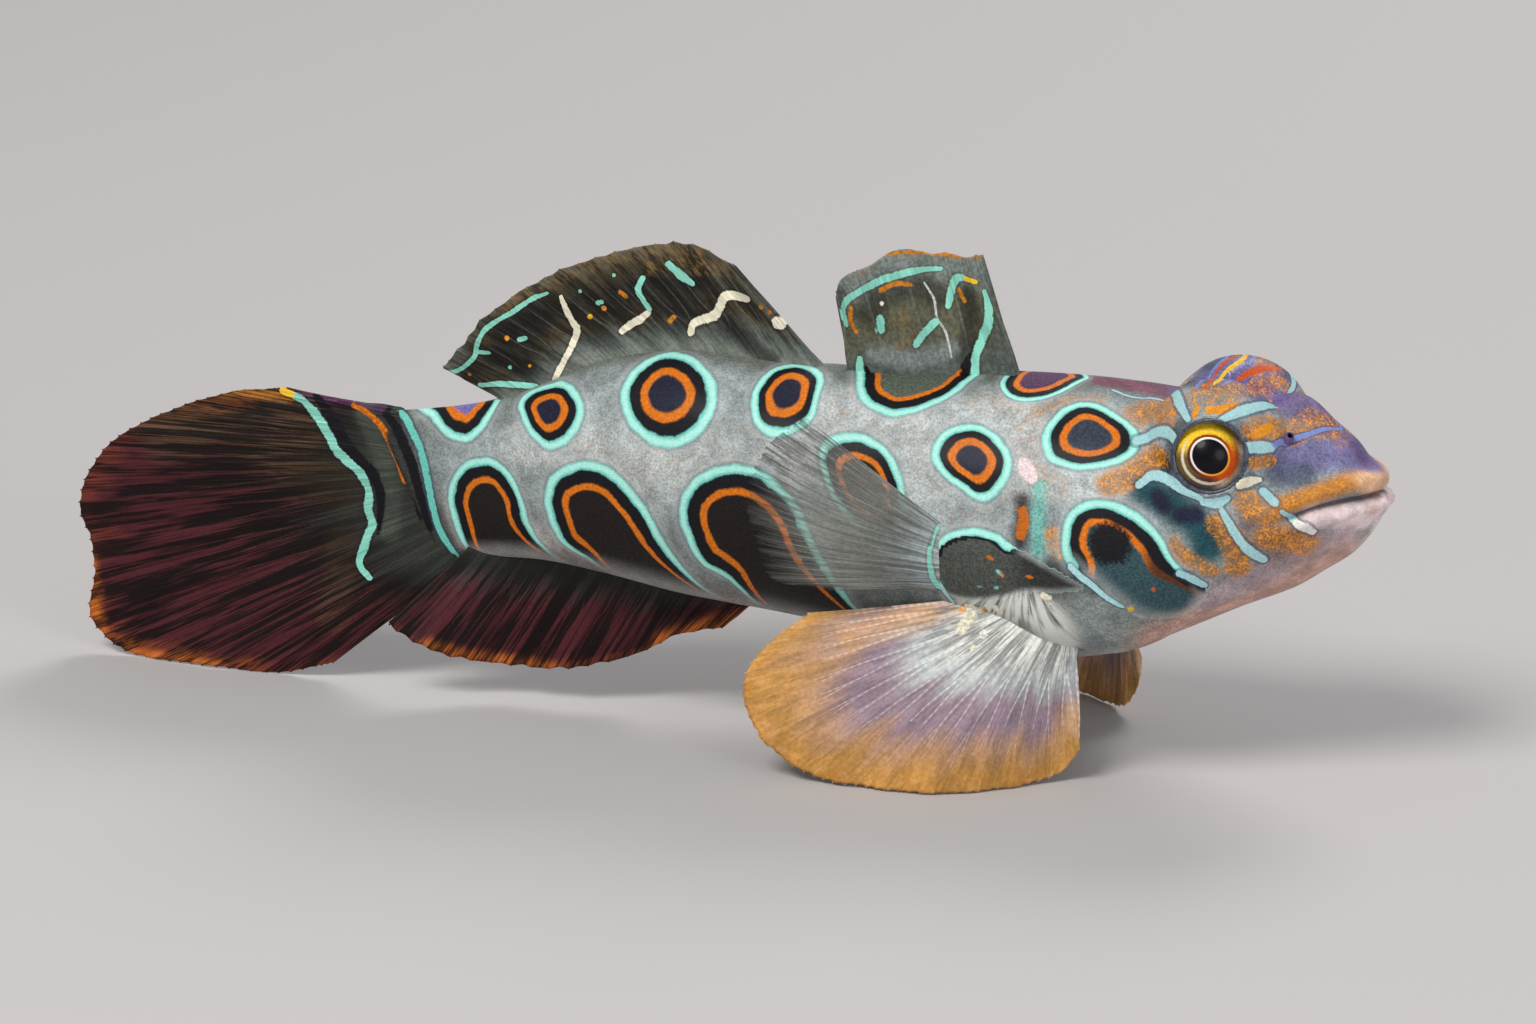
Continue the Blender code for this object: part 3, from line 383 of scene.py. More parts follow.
plainSpots = {  # without a dark outline
    "stalkInk": (((-14.95, 0, .26), (-14.7, 20, .30), (-14.45, 45, .30), (-14.4, 70, .30),
        (-14.65, 95, .26), (-14.95, 118, .18)), "ringBlack"),
    "stalkOrange": (((-15.1, 22, .12), (-15.02, 45, .14), (-15.02, 56, .08)), "ringOrange"),
    "baseFleckA": (((15.6, 86.2, .11), (15.9, 86.8, .08)), "gillAmber"),
    "baseFleckB": (((16.3, 92.2, .12),), "gillAmber"),
    "baseFleckC": (((17.4, 91.6, .10), (17.7, 91.9, .08)), "gillAmber"),
    "pearlA": (((14.5, 110.5, .16), (15.0, 112, .22)), "cream"), "pearlB": (((15.2, 116.5, .18),), "white"),
    "pearlC": (((15.9, 108.5, .20), (16.1, 110.5, .16)), "cream"),
        "pearlD": (((15.75, 118, .18),), "white"),
    "pearlE": (((18.2, 99.5, .15), (18.6, 100.5, .12)), "cream"),
        "pearlF": (((18.6, 103.5, .13),), "white"),
    "pearlG": (((15.3, 109.5, .10), (15.5, 113, .10)), "ochre"),
        "pearlH": (((18.35, 101.6, .08),), "ochre"),
    "tealDotA": (((15.25, 98.5, .13),), "turquoise"), "tealDotB": (((16.0, 98, .14),), "turquoise"),
    "tealDotC": (((16.05, 90.5, .13),), "turquoise"),
    "cheekDisc": (((21.3, 79.5, 1.05),), "nearBlack"),
    "flankPearl": (((16.75, 51.5, .24), (16.95, 54.5, .40), (17.25, 57.0, .30)), "lipWhite"),
    "gillOrange": (((17.0, 69, .22), (17.1, 73, .30), (17.0, 78, .24)), "gillAmber"),
    "jawYellow": (((22.3, 110.5, .17),), "yellow"),
    "cheekOrangeDot": (((23.3, 104, .12),), "rust"),
    "overEyeOrange": (((24.6, 38.2, .16), (24.75, 35.5, .14)), "brightOrange"),
    "browOrange": (((25.25, 37.2, .18), (25.9, 37.6, .24), (26.5, 35.5, .15)), "brightOrange"),
    "domeYellow": (((24.5, 8.5, .09), (24.9, 12, .14), (25.25, 15.5, .16), (25.35, 20, .14),
        (25.2, 25, .08)), "yellow"),
    "domeRust": (((24.2, 9.5, .08), (24.55, 15, .12), (24.95, 20.5, .13), (24.85, 27, .08)), "rust"),
    "domeBlueLine": (((23.9, 10, .08), (24.2, 14.5, .11), (24.5, 19, .11), (24.4, 26, .10)), "mauveBlue"),
    "domeBlueInner": (((24.95, 9.5, .06), (25.45, 13.5, .09), (25.8, 18, .09), (25.65, 25, .06)),
        "mauveBlue"),
    "domeRed": (((25.4, 8, .12), (25.92, 12, .24), (26.4, 16.5, .27), (26.95, 23, .16)), "rust"),
    "domeSpot": (((27.35, 18, .17),), "ochre"),
    "frontOrange": (((27.45, 46.5, .26), (28.0, 40, .24)), "brightOrange"),
}
washes = {  # soft stains: places, half width, strength, paint
    "backShade": (((-14, 0), (-8, 0), (0, 0), (9, 0), (19, 0)), 1.6, 0.35, "oliveGrey"),
    "flankLight": (((-7, 60), (-3, 76), (0, 80)), 1.8, 0.4, "paleGrey"),
    "midLight": (((5.5, 62), (8, 34), (11, 44), (11.8, 74)), 1.6, 0.6, "paleGrey"),
    "underMidRing": (((-9, 66), (-3, 74), (3, 62)), 1.0, 0.35, "paleGrey"),
    "shoulderLight": (((11, 32), (13.4, 33), (16.4, 36), (17, 58)), 1.2, 0.65, "paleGrey"),
    "gillLight": (((17.6, 60), (19.6, 58), (21.2, 57)), 0.8, 0.8, "paleGrey"),
    "bellyA": (((-14, 165), (-6, 168), (2, 160), (10, 160), (16, 150)), 2.0, 0.8, "pinkGrey"),
    "bellyB": (((-12, 180), (0, 180), (12, 180), (20, 180), (28, 180)), 3.0, 0.95, "bellyWhite"),
    "underArches": (((-12, 150), (-5, 148), (3, 143), (9, 140)), 1.2, 0.45, "baseOlive"),
    "stalkDark": (((-15.6, 20), (-15.6, 90), (-15.6, 160)), 1.5, 0.95, "baseOlive"),
    "napePlum": (((19.4, 0), (20.7, 2), (22.0, 5), (23.0, 8)), 0.8, 0.85, "redPurple"),
    "domeViolet": (((24.2, 10), (25.6, 14), (27.0, 20)), 1.2, 0.75, "violet"),
    "domeCrest": (((23.8, 17), (24.8, 24), (26.2, 25), (27.4, 24)), 0.6, 0.7, "slate"),
    "betweenEyes": (((23.5, 0), (25.5, 0), (27.5, 0)), 1.0, 0.75, "violet"),
    "browSlate": (((26.0, 45), (26.9, 46), (27.1, 57)), 0.45, 0.8, "slate"),
    "roundEye": (((24.0, 40), (23.55, 50), (24.0, 62)), 0.4, 0.75, "darkGrey"),
    "behindEyeDark": (((23.0, 47), (23.4, 51)), 0.38, 0.9, "nearBlack"),
    "snoutViolet": (((28.7, 52), (30.0, 42), (31.0, 28), (31.9, 14)), 1.0, 0.75, "violet"),
    "snoutTop": (((28.3, 12), (29.5, 8), (31.0, 6), (32, 0)), 0.9, 0.75, "snoutMauve"),
    "snoutSlate": (((28.5, 60), (29.4, 62)), 0.7, 0.8, "slate"),
    "upperLip": (((28.8, 81), (29.8, 77.5), (30.6, 71), (31.2, 62), (31.8, 48)), 0.55, 0.95, "lipOrange"),
    "upperTip": (((31.8, 52), (32.2, 44), (32.6, 20)), 0.6, 0.9, "lipTan"),
    "lowerLip": (((30.0, 94), (30.9, 93), (31.6, 95), (32.2, 97), (32.6, 110), (32.6, 180)), 0.6, 0.97,
        "lipWhite"),
    "lowerTip": (((31.2, 102), (32.0, 108), (32.5, 118), (32.45, 180)), 0.55, 0.95, "lipWhite"),
    "underLip": (((29.2, 112), (30.3, 120), (31.3, 126)), 0.9, 0.9, "pinkGrey"),
    "chin": (((23.0, 140), (25.5, 148), (28.0, 150), (30.5, 160)), 1.7, 0.9, "pinkTan"),
    "jawGrey": (((25.6, 128), (27.0, 126), (28.4, 122)), 1.0, 0.8, "pinkGrey"),
    "cheekRose": (((27.6, 92), (28.6, 100), (28.7, 110)), 1.1, 0.75, "snoutBrown"),
    "tealBlotch": (((22.7, 60), (23.6, 66), (24.7, 74), (25.4, 84), (25.6, 91)), 0.85, 1.0, "inkTeal"),
    "navyCoreA": (((23.2, 63), (23.6, 68)), 0.38, 0.95, "inkNavy"),
    "navyCoreB": (((24.3, 72.5), (25.0, 74)), 0.42, 0.95, "inkNavy"),
    "cheekTeal": (((21.9, 88), (22.9, 98), (23.8, 109)), 1.0, 0.9, "inkTeal"),
    "throatGrey": (((16.5, 118), (19, 125), (21, 130)), 1.4, 0.6, "greyBlue"),
    "gillDark": (((16.95, 66), (17.05, 73), (16.95, 80)), 0.42, 0.9, "ringBlack"),
    "gillTeal": (((17.7, 60), (17.75, 66), (17.8, 74), (17.9, 82)), 0.36, 0.75, "turquoise"),
    "baseDark": (((13.8, 92), (15, 90), (17, 92), (19.0, 93)), 0.9, 0.8, "lensGrey"),
    "baseInk": (((18.6, 86), (19.6, 89.5), (20.7, 96)), 0.4, 0.6, "ringBlack"),
}
calmPlaces = {  # smoother skin with little grain: places, half width, share
    "lowerLip": (((29.8, 94), (30.9, 96), (31.8, 99), (32.5, 110)), 0.75, 0.85),
    "upperTip": (((31.6, 52), (32.2, 42), (32.5, 20)), 0.6, 0.6),
    "jaw": (((25.0, 150), (28.0, 146), (31.0, 140)), 1.4, 0.5),
}
orangeStipple = {  # places, half width, amount
    "behindShoulder": (((21.5, 27), (22.2, 20), (23.2, 33)), 0.85, 0.75),
    "afterRing": (((21.0, 57), (21.9, 52.5), (22.8, 47)), 0.75, 0.85),
    "cheekBand": (((24.1, 84), (24.9, 96), (25.8, 108)), 0.40, 0.7),
    "cheekFront": (((26.1, 82), (26.7, 94), (26.9, 112)), 0.65, 0.85),
    "belowWedge": (((27.2, 75), (28.2, 85)), 0.7, 0.75),
    "jaw": (((28.2, 98), (29.2, 106), (29.7, 114)), 0.75, 0.8),
    "frontPatch": (((27.5, 57), (28.1, 55)), 0.35, 0.9),
    "browPatch": (((27.3, 45), (28.2, 38), (28.8, 32)), 0.65, 0.8),
    "lip": (((28.9, 80), (30.0, 74), (31.0, 62)), 0.45, 0.55),
    "lipTip": (((32.3, 97), (32.0, 92)), 0.25, 0.4),
    "byGill": (((18.5, 76), (18.8, 82)), 0.45, 0.55),
    "overShoulder": (((16.9, 30), (18.0, 22), (19.6, 18)), 0.45, 0.45),
    "dome": (((24.6, 30), (25.9, 30), (26.6, 20), (26.6, 5)), 0.8, 0.55),
    "domeFront": (((26.3, 8), (27.1, 15), (27.75, 20)), 0.42, 0.7),
    "forehead": (((28.4, 33), (29.2, 22), (30.2, 12)), 0.75, 0.6),
    "snoutEdge": (((29.6, 20), (30.6, 16)), 0.8, 0.35),
    "cheekInner": (((22.7, 79), (23.2, 88), (23.8, 98), (24.3, 106)), 0.26, 0.6),
    "flankSpecks": (((-9, 60), (-3, 78), (3, 60), (6, 64), (8, 24), (11, 44), (15, 74), (17, 60)), 1.7,
        0.20),
    "shoulderSpecks": (((14, 25), (16.5, 30), (16.6, 44), (18.5, 60)), 0.9, 0.27),
}

twinShift = (0.45, 3.0)  # millimetres along the fish, degrees round it

def farPlaces(places):
    # The far flank carries the same marks, each a little off its twin, except near the back.
    places = np.array(places, float)
    loose = ease(14, 50, places[:, 1]) * ease(26, 18, places[:, 0])
    places[:, 0] += loose * twinShift[0] * np.sin(0.8 * places[:, 0] + 1.0)
    places[:, 1] += loose * twinShift[1] * np.sin(0.6 * places[:, 0])
    return places

def near(points, line, reach):
    low, high = line.min(0) - reach, line.max(0) + reach
    return np.all((points >= low) & (points <= high), axis=1)

openFade, baseFade, archFade = 0.9, 0.3, (128, 150)
bareReach, bareDepth = 0.5, -0.5  # skin beside an open edge that stays free of paint
coreDark = (16.2, 17.6, 0.62)  # the fin base darkens between two x by a share
unpainted = -3.0  # a depth well outside every mark

def ringShare(points, outline):
    # Depth within a closed outline whose inner bands keep the outline's own shape.
    heart = outline.mean(0)
    plane = np.linalg.svd(outline - heart, full_matrices=False)[2][:2].T
    flat, rim = (points - heart) @ plane, (outline - heart) @ plane
    turn, reach = np.arctan2(rim[:, 1], rim[:, 0]), np.hypot(rim[:, 0], rim[:, 1])
    order = np.argsort(turn)
    limit = np.interp(np.arctan2(flat[:, 1], flat[:, 0]), turn[order], reach[order], period=2 * math.pi)
    return (1 - np.hypot(flat[:, 0], flat[:, 1]) / limit) * reach.mean()

def paintRings(points, x, angle, fields):
    for name, (line, widths, kind, core) in ringMarks.items():
        for side in (-1, 1):
            places = np.array(line, float) if side < 0 else farPlaces(line)
            chain, spots = skinChain(places, side, closed=kind == "ring" or kind.startswith("part"))
            if kind == "saddle":
                spots = np.vstack([spots, spots[::-1] * np.array([1, -1, 1])])
            picked = np.flatnonzero(near(points, spots, 1.0))
            where = np.stack([x[picked], np.abs(angle[picked])], -1)
            hold = np.ones(len(picked))
            measured = spots
            if kind.startswith("part"):
                last = places[int(kind[4:])]
                cut = int(np.linalg.norm((chain - last) * np.array([1.0, 0.1]), axis=1).argmin()) + 1
                measured = spots[:cut]
                banded, _ = distanceToLine(points[picked], measured)
                opened, _ = distanceToLine(points[picked], spots[cut:])
                fade = openFade if widths[2] else baseFade
                hold = np.maximum(ease(0.0, fade, opened), ease(0.9, 0.3, banded))
            elif kind == "arch":
                hold = ease(archFade[1], archFade[0], where[:, 1])
            gap, _ = distanceToLine(points[picked], measured)
            inner = insideLoop(where, chain)
            if kind != "saddle":
                inner &= (angle[picked] * side > 0)
            if kind.startswith("part"):
                bare = ~inner & (opened < bareReach) & (fields["ringDepth"][picked] < bareDepth)
                fields["markHold"][picked[bare]] = hold[bare]
            depth = np.where(inner, gap, -gap)
            if kind == "ring":
                depth = np.where(inner, ringShare(points[picked], spots), depth)
            scale = np.ones(len(picked))
            if name in taperOf:
                axis, start, end, share = taperOf[name]
                scale = 1 - (1 - share) * ease(start, end, where[:, 0 if axis == "x" else 1])
            turquoise, black, orange = (width * scale for width in widths)
            t = np.where(depth < turquoise, depth / turquoise, 1 + (depth - turquoise) / black)
            t = np.where(t > 2, 2 + (depth - turquoise - black) / np.maximum(orange, 0.01), t)
            t = np.minimum(t, 4.0)
            better = t > fields["ringDepth"][picked]
            chosen = picked[better]
            fields["ringDepth"][chosen] = t[better]
            fields["markHold"][chosen] = hold[better]
            fields["coreColour"][chosen] = linear(core)
            if name == "cheek":
                fields["orangeHold"][chosen] = 1 - ease(22.4, 23.4, x[chosen]) * 0.85
            elif not widths[2]:
                dark = (ease(*coreDark[:2], x[chosen]) * coreDark[2])[:, None]
                light, black = np.array(linear(core)), np.array(linear("nearBlack"))
                fields["coreColour"][chosen] = light * (1 - dark) + black * dark
                fields["orangeHold"][chosen] = 0.0

def paintStrokes(points, table, depthName, colourName, fields):
    for line, paint in table.values():
        for side in (-1, 1):
            places = np.array([spot[:2] for spot in line], float)
            widths = np.array([spot[2] for spot in line], float)
            if side > 0:
                places = farPlaces(places)
            _, spots = skinChain(places, side, step=0.15)
            wide = np.interp(np.linspace(0, 1, len(spots)), np.linspace(0, 1, len(widths)), widths)
            picked = np.flatnonzero(near(points, spots, 1.4))
            if not len(picked):
                continue
            _, inner = distanceToLine(points[picked], spots, wide)
            better = inner > fields[depthName][picked]
            fields[depthName][picked[better]] = inner[better]
            fields[colourName][picked[better]] = linear(paint)

def stain(gap, width, strength=1.0):
    # Share of a soft stain at this distance from its middle line.
    return strength * np.exp(-((gap / width) ** 4) * 0.9)

def paintSilk(points, x, angle, fields):
    # The pale silky flesh at the root of each pelvic fin, with strands that spread from its heart.
    for side in (-1, 1):
        chain = skinPoints(*np.array([(a, b * side) for a, b in silkBase["line"]]).T)
        chain = curveThrough(chain, np.linspace(0, 1, 30))
        picked = np.flatnonzero(near(points, chain, 2.2))
        gap, _ = distanceToLine(points[picked], chain)
        fields["silk"][picked] = stain(gap, silkBase["width"])
        wide = x[picked] - silkBase["heart"][0]
        deep = (np.abs(angle[picked]) - silkBase["heart"][1]) * 0.13
        turn, reach = np.arctan2(deep, wide) * silkBase["strands"], np.hypot(wide,
            deep) * silkBase["stretch"]
        fields["silkPlace"][picked] = np.stack([turn, reach, 0 * reach], -1)

def skinStain(points, places, side, width, strength):
    _, spots = skinChain(places, side, step=0.5)
    picked = np.flatnonzero(near(points, spots, width * 2))
    gap, _ = distanceToLine(points[picked], spots)
    return picked, stain(gap, width, strength)

def paintWashes(points, fields):
    for places, width, strength, paint in washes.values():
        for side in (-1, 1):
            picked, share = skinStain(points, places, side, width, strength)
            colours, share = fields["baseColour"], share[:, None]
            colours[picked] = colours[picked] * (1 - share) + np.array(linear(paint)) * share
    for table, label in ((orangeStipple, "orangeAmount"), (calmPlaces, "calm")):
        for places, width, amount in table.values():
            for side in (-1, 1):
                picked, share = skinStain(points, places, side, width, amount)
                fields[label][picked] = np.maximum(fields[label][picked], share)

def bodyBase(angle):
    # Grey-blue flank, darker along the back, paler and warmer below.
    down = np.abs(angle)[:, None]
    top, flank = np.array(linear("oliveGrey")), np.array(linear("greyBlue"))
    low, belly = np.array(linear("oliveGrey")), np.array(linear("bellyWhite"))
    shade = top + (flank - top) * ease(0, 26, down)
    shade = shade + (low - shade) * ease(70, 118, down) * 0.55
    shade = shade + (belly - shade) * ease(128, 160, down)
    return shade

def shapeSkin(points, fields):
    # Line of the mouth, creases and the rims of the eye openings.
    form = mouthForm
    line = mouthHeight(points[:, 0])
    share = np.clip((points[:, 0] - form["lineFrom"]) / (form["tipX"] - form["lineFrom"]), 0, 1)
    fade = ease(form["lineFrom"] - form["lineFade"], form["lineFrom"] + form["lineFade"], points[:, 0])
    width = form["lineWidth"] * (1 + 0.6 * share)
    groove = fade * np.exp(-(((points[:, 2] - line) / width) ** 2))
    heart = np.array(form["heart"])
    points = points - unit(points - heart) * (form["lineDepth"] * groove)[:, None]
    fields["mouthShade"][:] = groove
    for places, depth, wide in folds.values():
        for side in (-1, 1):
            _, spots = skinChain(places, side, step=0.3)
            picked = np.flatnonzero(near(points, spots, 1.0))
            gap, _ = distanceToLine(points[picked], spots)
            inward = unit(points[picked] - heart * np.array([0, 1, 0.8]) - points[picked] * np.array([1, 0,
                0]))
            points[picked] -= inward * (depth * np.exp(-((gap / wide) ** 2)))[:, None]
    for place, radius, rise in muscles.values():
        for side in (-1, 1):
            middle = skinPoints([place[0]], [place[1] * side])[0]
            picked = np.flatnonzero(near(points, middle[None], radius * 2))
            off = np.linalg.norm(points[picked] - middle, axis=1) / radius
            outward = skinPoints([place[0]], [place[1] * side], 1.0)[0] - middle
            points[picked] += outward * (rise * np.exp(-(off**2)))[:, None]
    for side in (-1, 1):
        centre, axis = eyeFrame(side)
        rel = points - centre
        height = rel @ axis
        radial = rel - height[:, None] * axis
        off = np.linalg.norm(radial, axis=1)
        front = height > 0.2
        bump = eyeForm["rimRise"] * np.exp(-(((off - eyeForm["rimRadius"]) / eyeForm["rimWidth"]) ** 2))
        height = height + np.where(front, bump, 0)
        under = np.sqrt(np.clip(eyeForm["radius"] ** 2 - off**2, 0, None)) - eyeForm["skinDepth"]
        sink = ease(eyeForm["opening"] + 0.1, eyeForm["opening"] - 0.04, off) * (under < height)
        height = np.where(front, height + (under - height) * sink, height)
        points = centre + radial + height[:, None] * axis
    return points

def skinRows():
    form = bodyForm
    body = np.arange(form["rearEnd"], form["headFrom"], form["bodyStep"])
    start, end = form["headFrom"], form["headTo"]
    head = np.linspace(start, end, int((end - start) / form["headStep"]), endpoint=False)
    tip = end + (ribPlace[-1] - end) * np.sin(np.linspace(0, math.pi / 2, form["tipRows"]))
    return np.concatenate([body, head, tip])

def makeSkin(material):
    rows, sides = skinRows(), bodyForm["sides"]
    turns = (np.arange(sides) + 0.5) * 360.0 / sides - 180.0
    gridX, gridAngle = np.meshgrid(rows, turns, indexing="ij")
    x, angle = gridX.ravel(), gridAngle.ravel()
    points = skinPoints(x, angle)
    count = len(points)
    fields = {
        "ringDepth": np.full(count, unpainted), "orangeHold": np.ones(count), "markHold": np.ones(count),
            "silk": np.zeros(count),
        "silkPlace": np.zeros((count, 3)), "calm": np.zeros(count), "coreColour": np.zeros((count, 3)),
        "baseColour": bodyBase(angle), "orangeAmount": np.zeros(count),
            "strokeDepth": np.full(count, unpainted),
        "strokeColour": np.zeros((count, 3)), "spotDepth": np.full(count, unpainted),
        "spotColour": np.zeros((count, 3)), "mouthShade": np.zeros(count),
    }
    paintRings(points, x, angle, fields)
    paintStrokes(points, paleStrokes, "strokeDepth", "strokeColour", fields)
    paintStrokes(points, plainSpots, "spotDepth", "spotColour", fields)
    paintWashes(points, fields)
    paintSilk(points, x, angle, fields)
    points = shapeSkin(points, fields)
    ends = []
    for row, inward in ((0, 0.0), (len(rows) - 1, mouthForm["tipDent"])):
        ring = points[row * sides : (row + 1) * sides]
        ends.append(ring.mean(0) - np.array([inward, 0, 0]))
    ends[1][2] = mouthHeight(rows[-1:])[0]
    points = np.vstack([points, ends])
    faces = tubeFaces(len(rows), sides) + capFaces(len(rows), sides)
    for label, values in fields.items():
        ends = values[[0, count - 1]]
        if label == "mouthShade":
            ends = np.array([0.0, 1.0])
        fields[label] = np.concatenate([values, ends])
    flip = signedVolume(points, faces[:: max(1, len(faces) // 4000)]) < 0
    return makePiece("skin", points, faces, material, fields, flip)

def setLinks(tree, item, links):
    for socket, value in links.items():
        if isinstance(value, bpy.types.NodeSocket):
            tree.links.new(value, item.inputs[socket])
        else:
            item.inputs[socket].default_value = value

def addNode(tree, kind, links=None, **settings):
    item = tree.nodes.new(kind)
    for label, value in settings.items():
        setattr(item, label, value)
    setLinks(tree, item, links or {})
    return item

def calc(tree, operation, first, second=0.5, clamp=False):
    links = {0: first} if second is None else {0: first, 1: second}
    return addNode(tree, "ShaderNodeMath", links, operation=operation, use_clamp=clamp).outputs[0]

def times(tree, first, second):
    return calc(tree, "MULTIPLY", first, second)

def plus(tree, first, second):
    return calc(tree, "ADD", first, second)

def minus(tree, first, second):
    return calc(tree, "SUBTRACT", first, second)

def blend(tree, share, first, second):
    links = {0: share, 6: first, 7: second}
    return addNode(tree, "ShaderNodeMix", links, data_type="RGBA", clamp_factor=True).outputs[2]

def smoothStep(tree, value, low, high, outLow=0.0, outHigh=1.0):
    links = {0: value, 1: low, 2: high, 3: outLow, 4: outHigh}
    return addNode(tree, "ShaderNodeMapRange", links, interpolation_type="SMOOTHSTEP").outputs[0]

def field(tree, label, output="Fac"):
    return addNode(tree, "ShaderNodeAttribute", attribute_name=label,
        attribute_type="GEOMETRY").outputs[output]

def noise(tree, vector, scale, detail=2.0, rough=0.5, distort=0.0):
    links = {"Vector": vector, "Scale": scale, "Detail": detail, "Roughness": rough, "Distortion": distort}
    return addNode(tree, "ShaderNodeTexNoise", links, noise_dimensions="3D").outputs[0]

def shade(tree, colour, factor):
    # The colour made darker or lighter.
    return addNode(tree, "ShaderNodeVectorMath", {0: colour, "Scale": factor}, operation="SCALE").outputs[0]

def rgba(name, shade=1.0):
    return (*(c * shade for c in linear(name)), 1.0)

def newGroup(name, inputs, outputs):
    tree = bpy.data.node_groups.new(name, "ShaderNodeTree")
    for label, kind, value in inputs:
        socket = tree.interface.new_socket(label, in_out="INPUT", socket_type=kind)
        if value is not None:
            socket.default_value = value
    for label, kind in outputs:
        tree.interface.new_socket(label, in_out="OUTPUT", socket_type=kind)
    return tree, tree.nodes.new("NodeGroupInput").outputs, tree.nodes.new("NodeGroupOutput").inputs

def placeGroup(tree, group, links):
    # The group is set before the links, since its sockets come with it.
    item = addNode(tree, "ShaderNodeGroup", node_tree=group)
    setLinks(tree, item, links)
    return item.outputs

def makeStipple():
    # Dots and blotches of fine pigment. Amount says how much of the surface they cover.
    tree, given, gives = newGroup(
        "pigment stipple",
        (("Vector", "NodeSocketVector", None), ("Scale", "NodeSocketFloat", 5.0),
            ("Amount", "NodeSocketFloat", 0.5), ("Softness", "NodeSocketFloat", 0.045)),
        (("Mask", "NodeSocketFloat"), ("Grain", "NodeSocketFloat")),
    )
    fine = noise(tree, given["Vector"], given["Scale"], 2.0, 0.6)
    coarse = noise(tree, given["Vector"], times(tree, given["Scale"], 0.32), 1.0, 0.5)
    grain = plus(tree, times(tree, fine, 0.72), times(tree, coarse, 0.28))
    level = minus(tree, 0.72, times(tree, given["Amount"], 0.44))
    soft = given["Softness"]
    mask = smoothStep(tree, minus(tree, grain, level), times(tree, soft, -1.0), soft)
    tree.links.new(mask, gives["Mask"])
    tree.links.new(grain, gives["Grain"])
    return tree

def makeWobble():
    # Shakes a depth a little, so that painted edges look hand drawn.
    tree, given, gives = newGroup(
        "uneven edge",
        (("Vector", "NodeSocketVector", None), ("Depth", "NodeSocketFloat", 0.0),
            ("Coarse", "NodeSocketFloat", 0.2), ("Fine", "NodeSocketFloat", 0.1)),
        (("Depth", "NodeSocketFloat"),),
    )
    slow = minus(tree, noise(tree, given["Vector"], 1.3, 1.0), 0.5)
    quick = minus(tree, noise(tree, given["Vector"], 7.0, 2.0, 0.6), 0.5)
    slow, quick = times(tree, slow, given["Coarse"]), times(tree, quick, given["Fine"])
    tree.links.new(plus(tree, given["Depth"], plus(tree, slow, quick)), gives["Depth"])
    return tree

def makeInkLine():
    # A painted stroke with a thin dark border.
    tree, given, gives = newGroup(
        "outlined stroke",
        (("Base", "NodeSocketColor", None), ("Paint", "NodeSocketColor", None),
            ("Border", "NodeSocketColor", None), ("Depth", "NodeSocketFloat", 0.0),
            ("Border Width", "NodeSocketFloat", 0.4), ("Border Strength", "NodeSocketFloat", 0.7)),
        (("Color", "NodeSocketColor"), ("Mask", "NodeSocketFloat")),
    )
    outer = times(tree, given["Border Width"], -1.0)
    edge = smoothStep(tree, given["Depth"], plus(tree, outer, -0.25), plus(tree, outer, 0.15))
    edge = times(tree, edge, given["Border Strength"])
    mask = smoothStep(tree, given["Depth"], -0.06, 0.16)
    colour = blend(tree, mask, blend(tree, edge, given["Base"], given["Border"]), given["Paint"])
    tree.links.new(colour, gives["Color"])
    tree.links.new(mask, gives["Mask"])
    return tree

def makeStreaks():
    # Fine streaks that run along a fin's rays.
    tree, given, gives = newGroup(
        "ray streaks",
        (("Across", "NodeSocketFloat", 0.0), ("Along", "NodeSocketFloat", 0.0),
            ("Count", "NodeSocketFloat", 60.0), ("Length", "NodeSocketFloat", 3.0)),
        (("Streak", "NodeSocketFloat"), ("Fleck", "NodeSocketFloat")),
    )
    across = times(tree, given["Across"], given["Count"])
    along = times(tree, given["Along"], given["Length"])
    place = addNode(tree, "ShaderNodeCombineXYZ", {0: across, 1: along, 2: 3.7}).outputs[0]
    streak = noise(tree, place, 1.0, 3.0, 0.6)
    tree.links.new(smoothStep(tree, streak, 0.36, 0.64), gives["Streak"])
    fleck = noise(tree, addNode(tree, "ShaderNodeCombineXYZ",
        {0: across, 1: times(tree, along, 4.0), 2: 9.1}).outputs[0], 1.6, 2.0, 0.6)
    tree.links.new(smoothStep(tree, fleck, 0.42, 0.66), gives["Fleck"])
    return tree

stipple, wobble, inkLine, streaks = makeStipple(), makeWobble(), makeInkLine(), makeStreaks()

def unevenDepth(tree, place, label, coarse, fine):
    given = {"Vector": place, "Depth": field(tree, label), "Coarse": coarse, "Fine": fine}
    return placeGroup(tree, wobble, given)["Depth"]

def rayStreaks(tree, look, output, count, length=1.0):
    given = {"Across": field(tree, "finAcross"), "Along": field(tree, "finAlong"),
        "Count": look["count"] * count, "Length": look["length"] * length}
    return placeGroup(tree, streaks, given)[output]

def addBump(tree, shader, height, strength, distance):
    bump = addNode(tree, "ShaderNodeBump", {"Height": height, "Strength": strength,
        "Distance": distance * mm})
    tree.links.new(bump.outputs[0], shader.inputs["Normal"])

def startMaterial(name, **plain):
    material = bpy.data.materials.new(name)
    material.use_nodes = True
    tree = material.node_tree
    shader = tree.nodes["Principled BSDF"]
    for label, value in plain.items():
        shader.inputs[label.replace("_", " ")].default_value = value
    return material, tree, shader

def millimetres(tree):
    # Object coordinates in millimetres.
    place = addNode(tree, "ShaderNodeTexCoord").outputs["Object"]
    return addNode(tree, "ShaderNodeVectorMath", {0: place, "Scale": 1000.0}, operation="SCALE").outputs[0]

skinFinish = {"roughness": 0.46, "coat": 0.07, "coatRoughness": 0.22, "bump": 0.16, "bumpStrength": 0.55}

